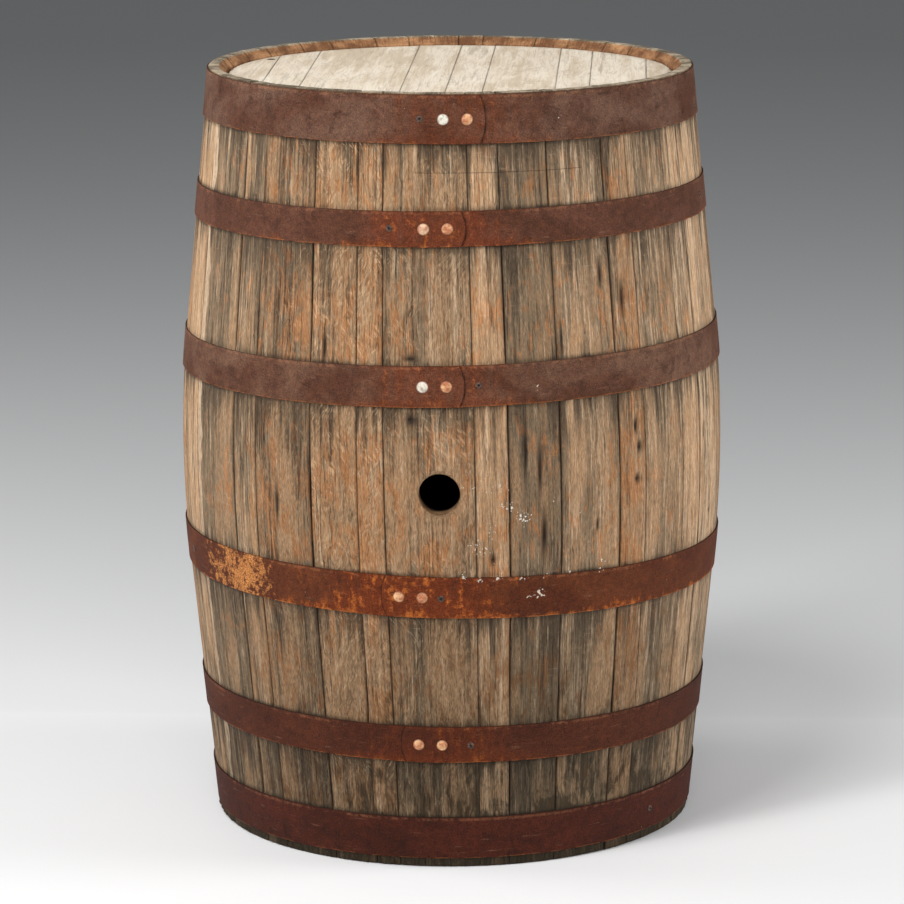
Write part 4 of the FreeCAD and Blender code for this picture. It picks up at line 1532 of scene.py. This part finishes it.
def build_fasteners(name, label, head, wobble, material, slot, zinc=None):
    """One piece of like heads, each at its place on the hoops."""
    seats = head_seats(name, Outline(settings().bend_half_length))
    piece = mesh_object(label, np.array([place for place, _ in seats]), [])
    facing = piece.data.attributes.new("facing", "FLOAT_VECTOR", "POINT")
    facing.data.foreach_set("vector", np.array([axis for _, axis in seats], np.float32).ravel())
    if zinc is not None:
        add_values(piece.data, "zinc", zinc)
    heads = piece.modifiers.new("Heads", "NODES")
    heads.node_group = fastener_tree(label, wobble)
    set_inputs(heads, {"Head": head, "Seed": settings().seed, "Material": material})
    settle(piece)
    bpy.data.objects.remove(head)
    dress(piece, slot, name)


class BARREL_OT_fasteners(bpy.types.Operator):
    """Rivets through the laps and screws that hold the hoops"""
    bl_idname = "barrel.fasteners"
    bl_label = "Rivets and screws"

    def execute(self, context):
        zinc = [ZINC_RIVETS.get(number, 0.0) for number in range(RIVETS)]
        rivet_metal = hammered_metal("Rivet metal")
        build_fasteners(
            "hoop_rivets", "Rivets", rivet_shape(), 0.05, rivet_metal, "rivet_steel", zinc)
        screw_metal = dark_steel("Screw steel")
        build_fasteners(
            "hoop_screws", "Screws", screw_shape(), 0.03, screw_metal, "screw_steel")
        return {"FINISHED"}


# ----------------------------------------------------------------------------- stage

CAMERA_AZIMUTH = 2.6
CAMERA_DISTANCE = 4.966
CAMERA_HEIGHT = 1.498
CAMERA_PITCH = 12.137
CAMERA_ROLL = -0.289
CAMERA_LENS = 168.3
SENSOR_WIDTH = 36.0
VIEW_DEPTH = 60.0
FLOOR_HALF = 16.0
WORLD_COLOUR = (0.86, 0.88, 0.9, 1)
WORLD_STRENGTH = 0.3
# Lamps: place, diameter and power in watts, all aimed at the middle of the barrel
LAMPS = {
    "Key": ((-2.9, -3.0, 2.8), 0.9, 74),
    "Left": ((-3.8, 0.6, 1.5), 2.0, 57),
    "Right": ((3.9, -0.2, 1.6), 2.0, 90),
    "Top": ((-0.9, -1.5, 3.6), 1.2, 66),
    "Fill": ((0.4, -4.8, 2.6), 2.5, 46),
}
LAMP_AIM = (0, 0, 0.5)


def add_camera():
    azimuth = math.radians(CAMERA_AZIMUTH)
    data = bpy.data.cameras.new("Camera")
    data.lens = CAMERA_LENS
    data.sensor_width = SENSOR_WIDTH
    data.clip_end = VIEW_DEPTH
    camera = bpy.data.objects.new("Camera", data)
    bpy.context.scene.collection.objects.link(camera)
    place = Matrix.Translation((
        CAMERA_DISTANCE * math.sin(azimuth), -CAMERA_DISTANCE * math.cos(azimuth), CAMERA_HEIGHT))
    turn = Matrix.Rotation(azimuth, 4, "Z")
    look_down = Matrix.Rotation(math.radians(90 - CAMERA_PITCH), 4, "X")
    roll = Matrix.Rotation(math.radians(CAMERA_ROLL), 4, "Z")
    camera.matrix_world = place @ turn @ look_down @ roll
    bpy.context.scene.camera = camera


def add_light(name, place, size, power):
    data = bpy.data.lights.new(name, "AREA")
    data.shape = "DISK"
    data.size = size
    data.energy = power
    light = bpy.data.objects.new(name, data)
    bpy.context.scene.collection.objects.link(light)
    aim = Vector(LAMP_AIM) - Vector(place)
    light.location = place
    light.rotation_euler = aim.to_track_quat("-Z", "Y").to_euler()


def studio_floor():
    """Pale floor, with painted shade that greys it far behind the barrel."""
    material, tree = new_material("Studio floor")
    y = tree.parts(tree.object_place())[1]
    far = ((y - 0.36) / 7.5).clamp().power(0.48)
    colour = tree.layers(linear(239, 239, 239), (far, linear(154, 154, 154)))
    values = {"Base Color": colour, "Roughness": 0.6}
    surface = tree.node("ShaderNodeBsdfPrincipled", None, values)
    tree.node("ShaderNodeOutputMaterial", None, {0: surface})
    return material


class BARREL_OT_stage(bpy.types.Operator):
    """Pale floor, soft studio light and the camera"""
    bl_idname = "barrel.stage"
    bl_label = "Stage"

    def execute(self, context):
        add_camera()
        corners = np.array([(-1, -1, 0), (1, -1, 0), (1, 1, 0), (-1, 1, 0)]) * FLOOR_HALF
        floor = mesh_object("Floor", corners, [(0, 1, 2, 3)])
        floor.data.materials.append(studio_floor())
        for name, lamp in LAMPS.items():
            add_light(name, *lamp)
        world = bpy.data.worlds.new("Studio")
        world.use_nodes = True
        background = world.node_tree.nodes["Background"]
        background.inputs["Color"].default_value = WORLD_COLOUR
        background.inputs["Strength"].default_value = WORLD_STRENGTH
        context.scene.world = world
        context.scene.view_settings.view_transform = "Standard"
        return {"FINISHED"}


class BARREL_PT_panel(bpy.types.Panel):
    """Lists the barrel's settings and its operators"""
    bl_idname = "BARREL_PT_panel"
    bl_label = "Barrel"
    bl_space_type = "VIEW_3D"
    bl_region_type = "UI"
    bl_category = "Barrel"

    def draw(self, context):
        for operator in OPERATORS:
            self.layout.operator(operator.bl_idname)
        for name in BarrelSettings.__annotations__:
            self.layout.prop(context.scene.barrel, name)


OPERATORS = (
    BARREL_OT_stage, BARREL_OT_staves, BARREL_OT_heads, BARREL_OT_hoops, BARREL_OT_fasteners)
CLASSES = (BarrelSettings, *OPERATORS, BARREL_PT_panel)


def register():
    for item in CLASSES:
        bpy.utils.register_class(item)
    bpy.types.Scene.barrel = bpy.props.PointerProperty(type=BarrelSettings)


def unregister():
    del bpy.types.Scene.barrel
    for item in reversed(CLASSES):
        bpy.utils.unregister_class(item)


def main():
    register()
    bpy.ops.barrel.stage()
    bpy.ops.barrel.staves()
    bpy.ops.barrel.heads()
    bpy.ops.barrel.hoops()
    bpy.ops.barrel.fasteners()


if __name__ == "__main__":
    main()
